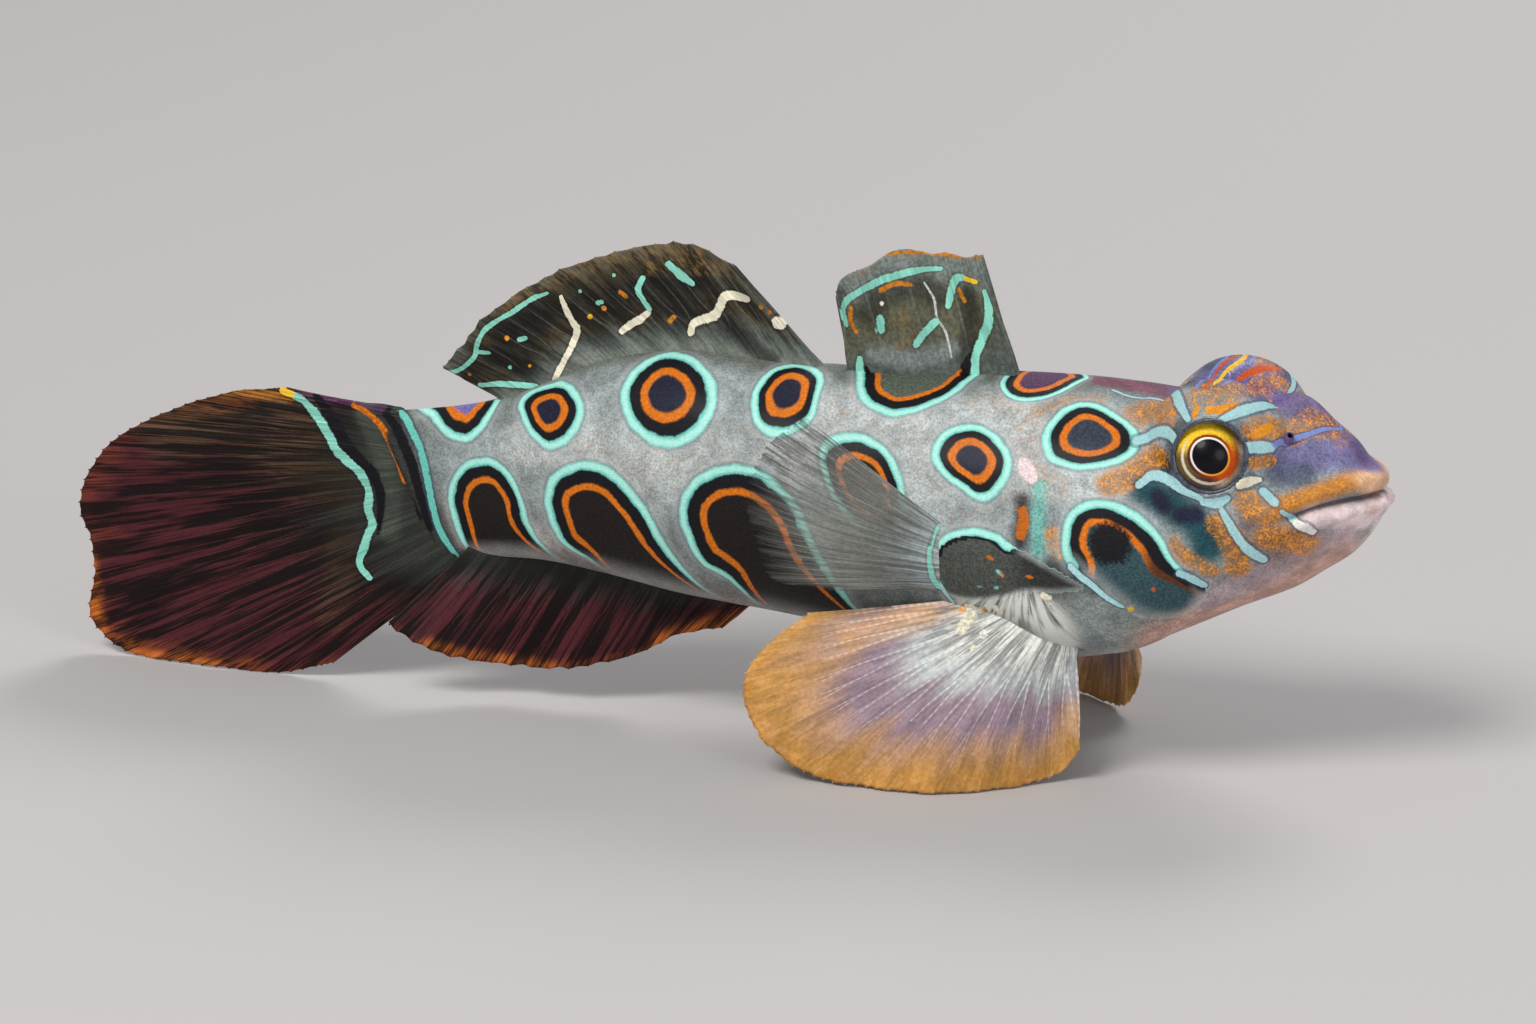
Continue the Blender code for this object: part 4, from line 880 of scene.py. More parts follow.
def makeSkinMaterial():
    material, tree, shader = startMaterial(
        "wet mandarin skin", Roughness=skinFinish["roughness"], Coat_Weight=skinFinish["coat"],
        Coat_Roughness=skinFinish["coatRoughness"], IOR=1.26)
    place = millimetres(tree)
    grain = noise(tree, place, 8.5, 4.0, 0.70)
    patch = noise(tree, place, 0.85, 3.0, 0.6)
    blotch = noise(tree, place, 2.4, 2.0, 0.6)
    base = field(tree, "baseColour", "Color")
    calm = field(tree, "calm")
    speckle = minus(tree, smoothStep(tree, grain, 0.36, 0.62, 0.68, 1.18), 1.0)
    speckle = times(tree, speckle, minus(tree, 1.0, calm))
    base = shade(tree, base, plus(tree, speckle, 1.0))
    base = shade(tree, base, smoothStep(tree, patch, 0.34, 0.64, 1.12, 0.78))
    base = shade(tree, base, smoothStep(tree, blotch, 0.36, 0.64, 1.06, 0.90))
    silkPlace = field(tree, "silkPlace", "Vector")
    strands = noise(tree, silkPlace, 1.0, 2.0, 0.6)
    silk = blend(tree, smoothStep(tree, strands, 0.34, 0.56), rgba("oliveGrey", 0.75), rgba("boneWhite"))
    base = blend(tree, times(tree, field(tree, "silk"), 0.92), base, silk)
    warm = placeGroup(tree, stipple, {
        "Vector": place, "Scale": 9.0, "Amount": field(tree, "orangeAmount"), "Softness": 0.15})
    hue = blend(tree, smoothStep(tree, warm["Grain"], 0.44, 0.60), rgba("ochre", 0.55),
        rgba("brightOrange"))
    hue = shade(tree, hue, smoothStep(tree, blotch, 0.36, 0.62, 0.72, 1.12))
    share = times(tree, warm["Mask"], smoothStep(tree, field(tree, "orangeAmount"), 0.05, 0.35))
    base = blend(tree, times(tree, share, 0.82), base, hue)

    depth = unevenDepth(tree, place, "ringDepth", 0.45, 0.20)
    halo = times(tree, smoothStep(tree, depth, -1.3, -0.2), 0.25)
    base = blend(tree, halo, base, rgba("paleGrey", 0.95))
    rim = times(tree, smoothStep(tree, depth, -0.42, -0.10), 0.30)
    outlined = blend(tree, rim, base, rgba("lineBlue", 0.9))
    brush = smoothStep(tree, grain, 0.34, 0.68)
    middle = calc(tree, "ABSOLUTE", minus(tree, depth, 0.45), None)
    turquoise = blend(tree, smoothStep(tree, middle, 0.5, 0.12), rgba("turquoise"), rgba("paleTurquoise"))
    turquoise = shade(tree, turquoise, smoothStep(tree, brush, 0.0, 1.0, 0.90, 1.04))
    orange = shade(tree, rgba("ringOrange")[:3], smoothStep(tree, brush, 0.0, 1.0, 0.72, 1.08))
    core = shade(tree, field(tree, "coreColour", "Color"), smoothStep(tree, brush, 0.0, 1.0, 0.72, 1.5))
    colour = blend(tree, smoothStep(tree, depth, -0.10, 0.12), outlined, turquoise)
    colour = blend(tree, smoothStep(tree, depth, 0.90, 1.10), colour, rgba("ringBlack"))
    orangeShare = times(tree, smoothStep(tree, depth, 1.88, 2.16), field(tree, "orangeHold"))
    colour = blend(tree, orangeShare, colour, orange)
    colour = blend(tree, smoothStep(tree, depth, 2.80, 3.20), colour, core)
    colour = blend(tree, field(tree, "markHold"), base, colour)
    spot = unevenDepth(tree, place, "spotDepth", 0.3, 0.7)
    spotPaint = shade(tree, field(tree, "spotColour", "Color"),
        smoothStep(tree, brush, 0.0, 1.0, 0.76, 1.08))
    colour = blend(tree, smoothStep(tree, spot, -0.15, 0.25), colour, spotPaint)
    stroke = unevenDepth(tree, place, "strokeDepth", 0.45, 0.5)
    paint = shade(tree, field(tree, "strokeColour", "Color"), smoothStep(tree, brush, 0.0, 1.0, 0.88, 1.06))
    inked = placeGroup(tree, inkLine, {
        "Base": colour, "Paint": paint, "Border": rgba("lineBlue", 0.8), "Depth": stroke,
            "Border Width": 0.5,
        "Border Strength": 0.5})
    mouth = smoothStep(tree, field(tree, "mouthShade"), 0.40, 0.95)
    colour = blend(tree, times(tree, mouth, 0.72), inked["Color"], rgba("redPurple", 0.25))
    tree.links.new(colour, shader.inputs["Base Color"])
    pores = noise(tree, place, 14.0, 1.0, 0.5)
    height = plus(tree, times(tree, grain, 0.55), times(tree, pores, 0.45))
    addBump(tree, shader, height, skinFinish["bumpStrength"], skinFinish["bump"])
    gloss = smoothStep(tree, grain, 0.3, 0.7, skinFinish["roughness"] + 0.10,
        skinFinish["roughness"] - 0.08)
    tree.links.new(gloss, shader.inputs["Roughness"])
    return material

nostrilForm = {  # the outline gives radius and height along the tube
    "place": (28.6, 38.0), "sides": 20,
    "outline": ((0.34, -0.12), (0.27, 0.10), (0.22, 0.26), (0.20, 0.34), (0.17, 0.38), (0.13, 0.36),
        (0.10, 0.26), (0.08, 0.06)),
}

def makeNostril(name, side, material):
    # A short skin tube with an open mouth, whose inside is painted near black as the shade deep in the
    # hole.
    x, angle = nostrilForm["place"]
    spots = skinPoints([x, x + 0.2, x], [angle * side, angle * side, (angle + 2) * side])
    along = unit(spots[1] - spots[0])
    axis = unit(np.cross(along, spots[2] - spots[0]))
    axis = axis * np.sign((spots[0] - np.array([x, 0, 12.5])) @ axis)
    across = np.cross(axis, along)
    sides, outline = nostrilForm["sides"], nostrilForm["outline"]
    turn = np.arange(sides) * 2 * math.pi / sides
    points = [spots[0] + axis * height + radius * (along * math.cos(t) + across * math.sin(t))
              for radius, height in outline for t in turn]
    points = np.array(points + [spots[0] + axis * outline[0][1], spots[0] + axis * outline[-1][1]])
    faces = tubeFaces(len(outline), sides) + capFaces(len(outline), sides)
    # Share of painted shade for each ring of the tube: none outside, full on the inner wall and floor of
    # the hole.
    holeShade = np.repeat([0.0, 0.0, 0.0, 0.1, 0.3, 0.8, 1.0, 1.0], sides)
    fields = {"holeShade": np.concatenate([holeShade, [0.0, 1.0]])}
    flip = signedVolume(points - spots[0], faces) < 0
    return makePiece(name, points, faces, material, fields, flip)

def makeNostrilMaterial():
    material, tree, shader = startMaterial("nostril skin", Roughness=0.5, IOR=1.3)
    grain = noise(tree, millimetres(tree), 8.0, 3.0, 0.6)
    colour = shade(tree, rgba("snoutMauve")[:3], smoothStep(tree, grain, 0.35, 0.65, 0.75, 1.15))
    # Painted shade: the inside of the hole is blended to near black.
    colour = blend(tree, field(tree, "holeShade"), colour, rgba("nearBlack"))
    tree.links.new(colour, shader.inputs["Base Color"])
    return material

print("skin")
skinMaterial, nostrilMaterial = makeSkinMaterial(), makeNostrilMaterial()
for side, word in ((-1, "right"), (1, "left")):
    nostril = makeNostril(f"nostril_{word}", side, nostrilMaterial)
    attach(nostril, "root")
skin = makeSkin(skinMaterial)
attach(skin, "root")
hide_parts("head", "lower_jaw", "trunk", "tail_stalk")

irisForm = {"pupil": (0.84, 0.76), "tilt": -34.0, "rings": 96, "spokes": 128}

def makeIrisMaterial():
    material, tree, shader = startMaterial("gilded eye", Roughness=0.35, IOR=1.2, Coat_Weight=0.08,
                                            Coat_Roughness=0.02)
    off = field(tree, "irisDepth")
    parts = addNode(tree, "ShaderNodeSeparateXYZ", {0: field(tree, "irisTurn", "Vector")}).outputs
    grain = noise(tree, millimetres(tree), 9.0, 3.0, 0.6)
    uneven = plus(tree, off, times(tree, minus(tree, grain, 0.5), 0.08))
    lower = smoothStep(tree, parts[0], -0.25, 0.75)  # towards the lower right
    left = smoothStep(tree, parts[1], 0.30, 0.75)  # towards the lower left
    gold = blend(tree, lower, rgba("yellow"), rgba("rust"))
    outer = times(tree, smoothStep(tree, uneven, 1.26, 1.42), 0.75)
    gold = blend(tree, times(tree, outer, lower), gold, rgba("cream"))
    gold = blend(tree, times(tree, left, 0.85), gold, rgba("navy"))
    gold = shade(tree, gold, smoothStep(tree, grain, 0.3, 0.7, 0.85, 1.25))
    crescent = times(tree, smoothStep(tree, uneven, 1.16, 1.22), smoothStep(tree, uneven, 1.34, 1.28))
    crescent = times(tree, crescent, smoothStep(tree, parts[1], 0.0, 0.5))
    gold = blend(tree, times(tree, crescent, 0.9), gold, rgba("cream"))
    colour = blend(tree, smoothStep(tree, uneven, 1.54, 1.62), gold, rgba("slate", 0.6))
    copper = blend(tree, lower, rgba("rust", 0.35), rgba("rust", 1.0))
    copper = blend(tree, times(tree, left, 0.6), copper, rgba("navy", 0.7))
    colour = blend(tree, smoothStep(tree, uneven, 1.08, 0.98), colour, copper)
    ring = blend(tree, lower, rgba("white"), rgba("brightOrange", 1.1))
    colour = blend(tree, smoothStep(tree, off, 0.915, 0.885), colour, ring)
    colour = blend(tree, smoothStep(tree, off, 0.825, 0.795), colour, (0.004, 0.003, 0.006, 1))
    tree.links.new(colour, shader.inputs["Base Color"])
    return material

def makeEye(name, side, material):
    # An eyeball whose poles lie on its axis, with the cornea's low dome over the iris.
    centre, axis = eyeFrame(side)
    rings, spokes = irisForm["rings"], irisForm["spokes"]
    forward = unit(np.array([1.0, 0, 0]) - axis * axis[0])
    upward = np.cross(axis, forward) * (1 if np.cross(axis, forward)[2] > 0 else -1)
    polar = np.linspace(0, math.pi, rings + 1)[1:-1]
    turn = np.arange(spokes) * 2 * math.pi / spokes
    gridPolar, gridTurn = np.meshgrid(polar, turn, indexing="ij")
    radius = eyeForm["radius"] - 0.02
    off, height = radius * np.sin(gridPolar).ravel(), radius * np.cos(gridPolar).ravel()
    a, b = off * np.cos(gridTurn).ravel(), off * np.sin(gridTurn).ravel()
    dome = np.where(height > 0, np.clip(1 - (off / eyeForm["corneaRadius"]) ** 2, 0, 1), 0)
    height = height + eyeForm["corneaRise"] * dome
    points = centre + a[:, None] * forward + b[:, None] * upward + height[:, None] * axis
    points = np.vstack([points, centre + axis * (radius + eyeForm["corneaRise"]), centre - axis * radius])
    tilt = math.radians(irisForm["tilt"])
    longAxis = a * math.cos(tilt) + b * math.sin(tilt)
    shortAxis = -a * math.sin(tilt) + b * math.cos(tilt)
    oval = np.hypot(longAxis / irisForm["pupil"][0], shortAxis / irisForm["pupil"][1]) * 0.80
    depth = oval + (off - oval) * ease(0.90, 1.3, off)
    depth = np.where(height > 0, depth, 3.0)
    size = np.maximum(off, 1e-6)
    toLowerRight = (a / size) * 0.75 - (b / size) * 0.66
    toLowerLeft = -(a / size) * 0.62 - (b / size) * 0.78
    turns = np.stack([toLowerRight, toLowerLeft, b / size], -1)
    faces = tubeFaces(rings - 1, spokes) + capFaces(rings - 1, spokes)
    fields = {
        "irisDepth": np.concatenate([depth, [0.0, 3.0]]),
        "irisTurn": np.vstack([turns, [[0, 0, 0], [0, 0, 0]]]),
    }
    flip = signedVolume(points - centre, faces[::7]) < 0
    return makePiece(name, points, faces, material, fields, flip)

def makeLidMaterial():
    material, tree, shader = startMaterial("eyelid skin", Roughness=0.38, Coat_Weight=0.3,
        Coat_Roughness=0.2)
    place = millimetres(tree)
    spots = placeGroup(tree, stipple, {"Vector": place, "Scale": 6.0, "Amount": 0.5})
    colour = blend(tree, spots["Mask"], rgba("slate", 0.40), rgba("slate", 0.95))
    tree.links.new(colour, shader.inputs["Base Color"])
    addBump(tree, shader, spots["Grain"], 0.5, 0.1)
    return material

def makeLid(name, side, material, skinSpots):
    # The free edge of the skin round the eye, laid over the rim of the opening.
    centre, axis = eyeFrame(side)
    forward = unit(np.array([1.0, 0, 0]) - axis * axis[0])
    upward = np.cross(axis, forward)
    rel = skinSpots - centre
    heights = rel @ axis
    radial = rel - heights[:, None] * axis
    off = np.linalg.norm(radial, axis=1)
    usable = (heights > 0.3) & (np.abs(off - eyeForm["lidRadius"] - 0.04) < 0.07)
    around = np.arctan2(radial[usable] @ upward, radial[usable] @ forward)
    spokes, sides = 120, 12
    turn = np.arange(spokes) * 2 * math.pi / spokes
    level = np.array([heights[usable][np.argsort(np.abs(np.angle(np.exp(1j * (around - t)))))[:12]].mean()
                      for t in turn])
    level = np.array([np.take(level, range(i - 3, i + 4), mode="wrap").mean() for i in range(spokes)])
    points = []
    for i, t in enumerate(turn):
        out = forward * math.cos(t) + upward * math.sin(t)
        middle = centre + out * eyeForm["lidRadius"] + axis * (level[i] - 0.02)
        tube = eyeForm["lidTube"] * (1.0 + 0.18 * math.sin(2 * t + 0.6))
        for k in range(sides):
            p = 2 * math.pi * k / sides
            points.append(middle + out * math.cos(p) * tube * 1.1 + axis * math.sin(p) * tube)
    faces = tubeFaces(spokes, sides, wrapped=True)
    points = np.array(points)
    flip = signedVolume(points - centre, faces) < 0
    return makePiece(name, points, faces, material, None, flip)

print("eyes")
irisMaterial, lidMaterial = makeIrisMaterial(), makeLidMaterial()
skinSpots = np.empty(len(skin.data.vertices) * 3)
skin.data.vertices.foreach_get("co", skinSpots)
skinSpots = skinSpots.reshape(-1, 3) / mm
for side, word in ((-1, "right"), (1, "left")):
    eye = makeEye(f"eyeball_{word}", side, irisMaterial)
    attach(eye, "root")
    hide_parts(f"eye_{word}")
    lid = makeLid(f"eyelid_{word}", side, lidMaterial, skinSpots)
    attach(lid, "root")

finForms = {
    "dorsal_fin_front": {
        "kind": "back", "rootX": (15.3, 7.1), "rootAngle": (0, 0), "rays": 4, "seed": 11, "branches": 0,
        "tips": ((13.4, 23.5), (11.4, 23.3), (9.0, 23.4), (7.7, 22.6), (6.6, 22.0), (6.1, 20.9)),
        "rayWidth": (0.17, 0.07), "ripple": (0.22, 1.3), "edge": 0.09, "flesh": (0.30, 0.16), "columns": 30,
            "rows": 56,
    },
    "dorsal_fin_rear": {
        "kind": "back", "rootX": (6.3, -9.4), "rootAngle": (0, 0), "rays": 9, "seed": 12, "branches": 1,
        "tips": ((1.2, 22.1), (-1.6, 22.85), (-4.6, 22.3), (-8.2, 20.9), (-11.3, 18.7), (-12.5, 17.2),
            (-13.6, 15.9)),
        "rayWidth": (0.15, 0.05), "ripple": (0.22, 2.1), "edge": 0.06, "flesh": (0.30, 0.16), "columns": 18,
            "rows": 60,
    },
    "anal_fin": {
        "kind": "belly", "rootX": (3.0, -11.6), "rootAngle": (180, 180), "rays": 9, "seed": 13,
            "branches": 1,
        "tips": ((0.6, 4.2), (-1.6, 3.7), (-3.6, 2.5), (-6.2, 1.8), (-8.9, 1.5), (-11.8, 1.8), (-14.3, 2.6),
            (-15.6, 3.6)),
        "rayWidth": (0.14, 0.05), "ripple": (0.25, 2.6), "edge": 0.07, "flesh": (0.30, 0.14), "columns": 14,
            "rows": 44,
    },
    "tail_fin": {
        "kind": "tail", "rootX": (-14.2, -14.2), "rootAngle": (9, 171), "rays": 13, "seed": 14,
            "branches": 2,
        "tips": ((-21.8, 14.0), (-25.2, 13.55), (-28.7, 12.2), (-31.3, 10.5), (-32.8, 8.3), (-33.0, 6.9),
            (-32.4, 5.0), (-32.45, 3.2), (-32.6, 1.7), (-31.6, 0.6), (-29.6, 0.0), (-26.0, 0.0),
            (-22.0, 0.0), (-19.3, 0.8)),
        "rayWidth": (0.17, 0.045), "ripple": (0.32, 1.9), "edge": 0.07, "flesh": (0.42, 0.15),
            "columns": 14, "rows": 88,
    },
    "pelvic_fin": {
        "kind": "side", "rootX": (16.2, 19.0), "rootAngle": (110, 130), "rays": 12, "seed": 15,
            "branches": 2,
        "tips": ((7.0, 7.2, 7.5), (5.2, 8.0, 5.9), (4.35, 8.6, 4.2), (4.9, 9.0, 2.4), (6.2, 9.25, 1.1),
            (8.2, 9.4, 0.2), (10.8, 9.3, 0.0), (13.6, 9.2, 0.0), (15.8, 8.3, 0.0), (17.6, 6.9, 0.0),
            (18.9, 5.6, 0.35), (19.7, 5.3, 1.5), (19.8, 5.3, 2.9)),
        "bow": (0, 1.3, 0.5), "lowZ": 0.0, "folds": {-1: 1.0, 1: 1.0},
        "rayWidth": (0.19, 0.045), "ripple": (0.16, 2.3), "edge": 0.07, "flesh": (0.38, 0.13),
            "columns": 14, "rows": 72,
    },
    "pectoral_fin": {
        "kind": "side", "rootX": (13.6, 13.8), "rootAngle": (82, 106), "rays": 16, "seed": 16,
            "branches": 1,
        "tips": ((6.9, 7.3, 17.0), (5.3, 7.8, 15.7), (4.6, 8.2, 14.2), (4.5, 8.4, 12.6), (5.0, 8.5, 11.0),
            (5.6, 8.4, 9.4), (8.2, 8.2, 9.0)),
        "bow": (0, 0.7, 0), "lowZ": 9.0, "folds": {-1: 1.0, 1: 0.78},
        "rayWidth": (0.10, 0.02), "ripple": (0.14, 2.4), "edge": 0.10, "flesh": (0.28, 0.13), "columns": 10,
            "rows": 56,
    },
}
finRules = {
    "rootSink": 0.9, "sway": 0.35, "tailSway": 0.7, "analLean": 2.6, "membrane": (0.075, 0.04),
    "pleat": 0.05, "jitter": 0.11, "lowest": 0.06, "shakes": 3,
    "splits": (0.26, 0.58), "spread": (0.24, 0.12), "rayStep": 0.022, "facets": 8,
}

def finRoot(form, across, side):
    x = form["rootX"][0] + (form["rootX"][1] - form["rootX"][0]) * across
    angle = form["rootAngle"][0] + (form["rootAngle"][1] - form["rootAngle"][0]) * across
    if form["kind"] == "tail":
        ends = skinPoints([form["rootX"][0]] * 2, form["rootAngle"])
        return ends[0] + (ends[1] - ends[0]) * across[:, None]
    if form["kind"] == "side":
        return skinPoints(x, angle * side, -finRules["rootSink"])
    sink = -finRules["rootSink"] if form["kind"] == "back" else finRules["rootSink"]
    height = skinPoints(x, angle)[:, 2] + sink
    return np.stack([x, 0 * x, height], -1)

def finTip(form, across, side):
    spots = curveThrough(form["tips"], across)
    if form["kind"] == "side":
        fold = form["folds"][side]
        height = form["lowZ"] + (spots[:, 2] - form["lowZ"]) * fold
        return np.stack([spots[:, 0], spots[:, 1] * side, height], -1)
    if form["kind"] == "back":
        y = finRules["sway"] * np.sin(2 * math.pi * across)
    elif form["kind"] == "belly":
        y = -finRules["analLean"] * across**2
    else:
        y = finRules["tailSway"] * np.sin(1.5 * math.pi * across)
    return np.stack([spots[:, 0], y, spots[:, 1]], -1)

def finSheet(form, across, along, side):
    start, end = finRoot(form, across, side), finTip(form, across, side)
    bow = onSide(form.get("bow", (0, 0, 0)), side)
    lift = 4 * along * (1 - along) * np.sin(math.pi * across)
    return start + (end - start) * along[:, None] + bow * lift[:, None]

def finNormal(form, across, along, side):
    e = 0.01
    wide = finSheet(form, np.minimum(across + e, 1), along, side)
    wide -= finSheet(form, np.maximum(across - e, 0), along, side)
    deep = finSheet(form, across, np.minimum(along + e, 1), side) - finSheet(form, across, along - e, side)
    return unit(np.cross(wide, deep))

def finPoints(form, across, along, side):
    # Points of the rippled middle surface of a fin, and its normals.
    normal = finNormal(form, across, along, side)
    height, waves = form["ripple"]
    swing = height * along**1.6 * np.sin(2 * math.pi * waves * across + form["seed"])
    pleat = finRules["pleat"] * along * np.cos(2 * math.pi * form["rays"] * across)
    spots = finSheet(form, across, along, side) + normal * (swing + pleat)[:, None]
    spots[:, 2] = np.maximum(spots[:, 2], finRules["lowest"])
    return spots, normal

def finLength(form, across, side):
    return np.linalg.norm(finTip(form, across, side) - finRoot(form, across, side), axis=1)

def tipLoss(form, across, side):
    # How much shorter, as a share of its length, each place of the edge is: every ray ends a little apart.
    chance = np.random.default_rng(form["seed"])
    loss = chance.uniform(0, finRules["jitter"], form["rays"] * 4 + 1)
    places = np.linspace(0, 1, len(loss))
    return np.interp(across, places, loss) / np.maximum(finLength(form, across, side), 1.0)

def finFields(form, paint, spots, across, along, side, onRay):
    # Colour, clearness and the painted strokes at these points of a fin.
    count = len(spots)
    stops = paint["gradient"]
    shares = [stop[0] for stop in stops]
    colours = np.array([linear(stop[1]) for stop in stops])
    amount = form["rays"] * finRules["shakes"] + 1
    shake = np.random.default_rng(form["seed"] + 5).uniform(-1, 1, amount)
    shaken = along + paint["shake"] * np.interp(across, np.linspace(0, 1, amount), shake) * ease(0.0, 0.2,
        along)
    base = np.stack([np.interp(shaken, shares, colours[:, i]) for i in range(3)], -1)
    clearStops = paint.get("clear", ((0, 0), (1, 0)))
    clear = np.interp(along, [stop[0] for stop in clearStops], [stop[1] for stop in clearStops])
    flat = form["kind"] != "side"
    measured = spots[:, [0, 2]] if flat else spots
    fields = {
        "strokeDepth": np.full(count, unpainted), "strokeColour": np.zeros((count, 3)),
        "spotDepth": np.full(count, unpainted), "spotColour": np.zeros((count, 3)),
            "orangeAmount": np.zeros(count),
    }

    def chainOf(places, step=0.12):
        places = np.asarray(places, float)
        if len(places) > 1:
            total = np.linalg.norm(np.diff(places, axis=0), axis=1).sum()
            amount = max(5, int(total / step)) if flat else 24
            places = curveThrough(places, np.linspace(0, 1, amount))
        if flat:
            return places
        return finPoints(form, places[:, 0], places[:, 1], side)[0]

    for label in ("washes", "stipple"):
        for places, width, strength, *name in paint.get(label, ()):
            gap, _ = distanceToLine(measured, chainOf(places, 0.5))
            share = stain(gap, width, strength)
            if label == "washes":
                base += (np.array(linear(name[0])) - base) * share[:, None]
            else:
                fields["orangeAmount"] = np.maximum(fields["orangeAmount"], share)
    for label, depthName, colourName in (("strokes", "strokeDepth", "strokeColour"),
                                         ("spots", "spotDepth", "spotColour")):
        for line, name in paint.get(label, ()):
            chain = chainOf([spot[:2] for spot in line])
            widths = np.interp(np.linspace(0, 1, len(chain)), np.linspace(0, 1, len(line)),
                               [spot[2] for spot in line])
            picked = np.flatnonzero(near(measured, chain, 1.2))
            if not len(picked):
                continue
            _, inner = distanceToLine(measured[picked], chain, widths)
            better = inner > fields[depthName][picked]
            fields[depthName][picked[better]] = inner[better]
            fields[colourName][picked[better]] = linear(name)
    fields.update({
        "finColour": base, "finClear": clear, "finRay": np.full(count, float(onRay)),
        "finAcross": across * form["rays"], "finAlong": along * finLength(form, across, side),
        "finShare": along,
    })
    return fields

def makeMembrane(name, form, paint, side, material):
    columns, rows = form["rays"] * form["columns"], form["rows"]
    gridAcross, gridAlong = np.meshgrid(np.linspace(0, 1, columns + 1), np.linspace(0, 1, rows + 1),
                                        indexing="ij")
    across, along = gridAcross.ravel(), gridAlong.ravel()
    finest = form["rays"] * (2 ** form["branches"])
    shift = 0.5 if form["branches"] else 0.0
    notch = np.sin(math.pi * (finest * across - shift)) ** 2 * form["edge"]
    loss = tipLoss(form, across, side) + notch / np.maximum(finLength(form, across, side), 1.0) + 0.004
    reach = along * (1 - loss)
    spots, normal = finPoints(form, across, reach, side)
    thin = finRules["membrane"][0] + (finRules["membrane"][1] - finRules["membrane"][0]) * along
    skinSink = finRules["rootSink"] / np.maximum(finLength(form, across, side), 1.0)
    flesh = form["flesh"][0] * np.exp(-((np.maximum(along - skinSink, 0) / form["flesh"][1]) ** 2))
    half = (thin + flesh)[:, None]
    front, back = spots + normal * half, spots - normal * half
    for sheet in (front, back):
        sheet[:, 2] = np.maximum(sheet[:, 2], 0.0)
    wide, behind = rows + 1, len(front)
    faces = []
    for column in range(columns):
        for row in range(rows):
            a = column * wide + row
            b, c, d = a + wide, a + wide + 1, a + 1
            faces.append((a, b, c, d))
            faces.append((behind + d, behind + c, behind + b, behind + a))
    rim = [(column * wide, (column + 1) * wide) for column in range(columns)]
    rim += [(columns * wide + row, columns * wide + row + 1) for row in range(rows)]
    rim += [((column + 1) * wide + rows, column * wide + rows) for column in reversed(range(columns))]
    rim += [(row + 1, row) for row in reversed(range(rows))]
    faces += [(b, a, behind + a, behind + b) for a, b in rim]
    fields = finFields(form, paint, spots, across, reach, side, False)
    fields = {label: np.concatenate([values, values]) for label, values in fields.items()}
    points = np.vstack([front, back])
    flip = signedVolume(points - points.mean(0), faces) < 0
    return makePiece(name, points, faces, material, fields, flip)

def makeRayTree():
    # Turns lines that carry their own radius into closed round rays.
    tree = bpy.data.node_groups.new("fin rays", "GeometryNodeTree")
    for label, kind, value in (("Lines", "NodeSocketGeometry", None), ("Thickness", "NodeSocketFloat", 1.0),
                               ("Facets", "NodeSocketInt", 8), ("Unevenness", "NodeSocketFloat", 0.5),
                               ("Seed", "NodeSocketInt", 1), ("Material", "NodeSocketMaterial", None)):
        socket = tree.interface.new_socket(label, in_out="INPUT", socket_type=kind)
        if value is not None:
            socket.default_value = value
    tree.interface.new_socket("Rays", in_out="OUTPUT", socket_type="NodeSocketGeometry")
    given = tree.nodes.new("NodeGroupInput").outputs
    curve = addNode(tree, "GeometryNodeMeshToCurve", {0: given["Lines"]}).outputs[0]
    named = addNode(tree, "GeometryNodeInputNamedAttribute", {"Name": "rayRadius"}, data_type="FLOAT")
    place = addNode(tree, "ShaderNodeVectorMath", {
        0: addNode(tree, "GeometryNodeInputPosition").outputs[0], "Scale": 600.0},
            operation="SCALE").outputs[0]
    uneven = addNode(tree, "ShaderNodeTexNoise", {
        "Vector": place, "W": given["Seed"], "Scale": 1.0, "Detail": 1.0}, noise_dimensions="4D").outputs[0]
    uneven = times(tree, minus(tree, uneven, 0.5), given["Unevenness"])
    radius = times(tree, named.outputs[0], times(tree, plus(tree, uneven, 1.0), given["Thickness"]))
    circle = addNode(tree, "GeometryNodeCurvePrimitiveCircle",
        {"Resolution": given["Facets"], "Radius": 1.0})
    tube = addNode(tree, "GeometryNodeCurveToMesh", {
        "Curve": curve, "Profile Curve": circle.outputs[0], "Scale": radius, "Fill Caps": True})
    smooth = addNode(tree, "GeometryNodeSetShadeSmooth",
        {0: tube.outputs[0], "Shade Smooth": True}).outputs[0]
    whole = addNode(tree, "GeometryNodeRealizeInstances", {0: smooth}).outputs[0]
    painted = addNode(tree, "GeometryNodeSetMaterial", {"Geometry": whole, "Material": given["Material"]})
    tree.links.new(painted.outputs[0], tree.nodes.new("NodeGroupOutput").inputs[0])
    return tree

def rayLines(form):
    # Across and along shares of every ray and branch, with a level for each.
    first, second = finRules["splits"]
    wideSpread, fineSpread = finRules["spread"]
    lines = []
    for ray in range(form["rays"] + 1):
        def offset(along, signs):
            off = 0 * along
            if signs:
                off = off + signs[0] * wideSpread * ease(first - 0.02, first + 0.34, along)
            if len(signs) > 1:
                off = off + signs[1] * fineSpread * ease(second - 0.02, second + 0.30, along)
            if ray in (0, form["rays"]):
                widest = wideSpread + fineSpread
                off = (off + (widest if ray == 0 else -widest) * ease(first, 1.0, along)) / 2
            return off

        def addLine(start, end, signs):
            along = np.linspace(max(0.0, start - 0.02), end,
                max(5, int((end - start) / finRules["rayStep"])))
            lines.append((np.clip((ray + offset(along, signs)) / form["rays"], 0, 1), along, len(signs)))

        if form["branches"] == 0:
            addLine(0, 1, ())
            continue
        addLine(0, first, ())
        for sign in (-1, 1):
            addLine(first, second if form["branches"] > 1 else 1, (sign,))
            if form["branches"] > 1:
                for twig in (-1, 1):
                    addLine(second, 1, (sign, twig))
    return lines

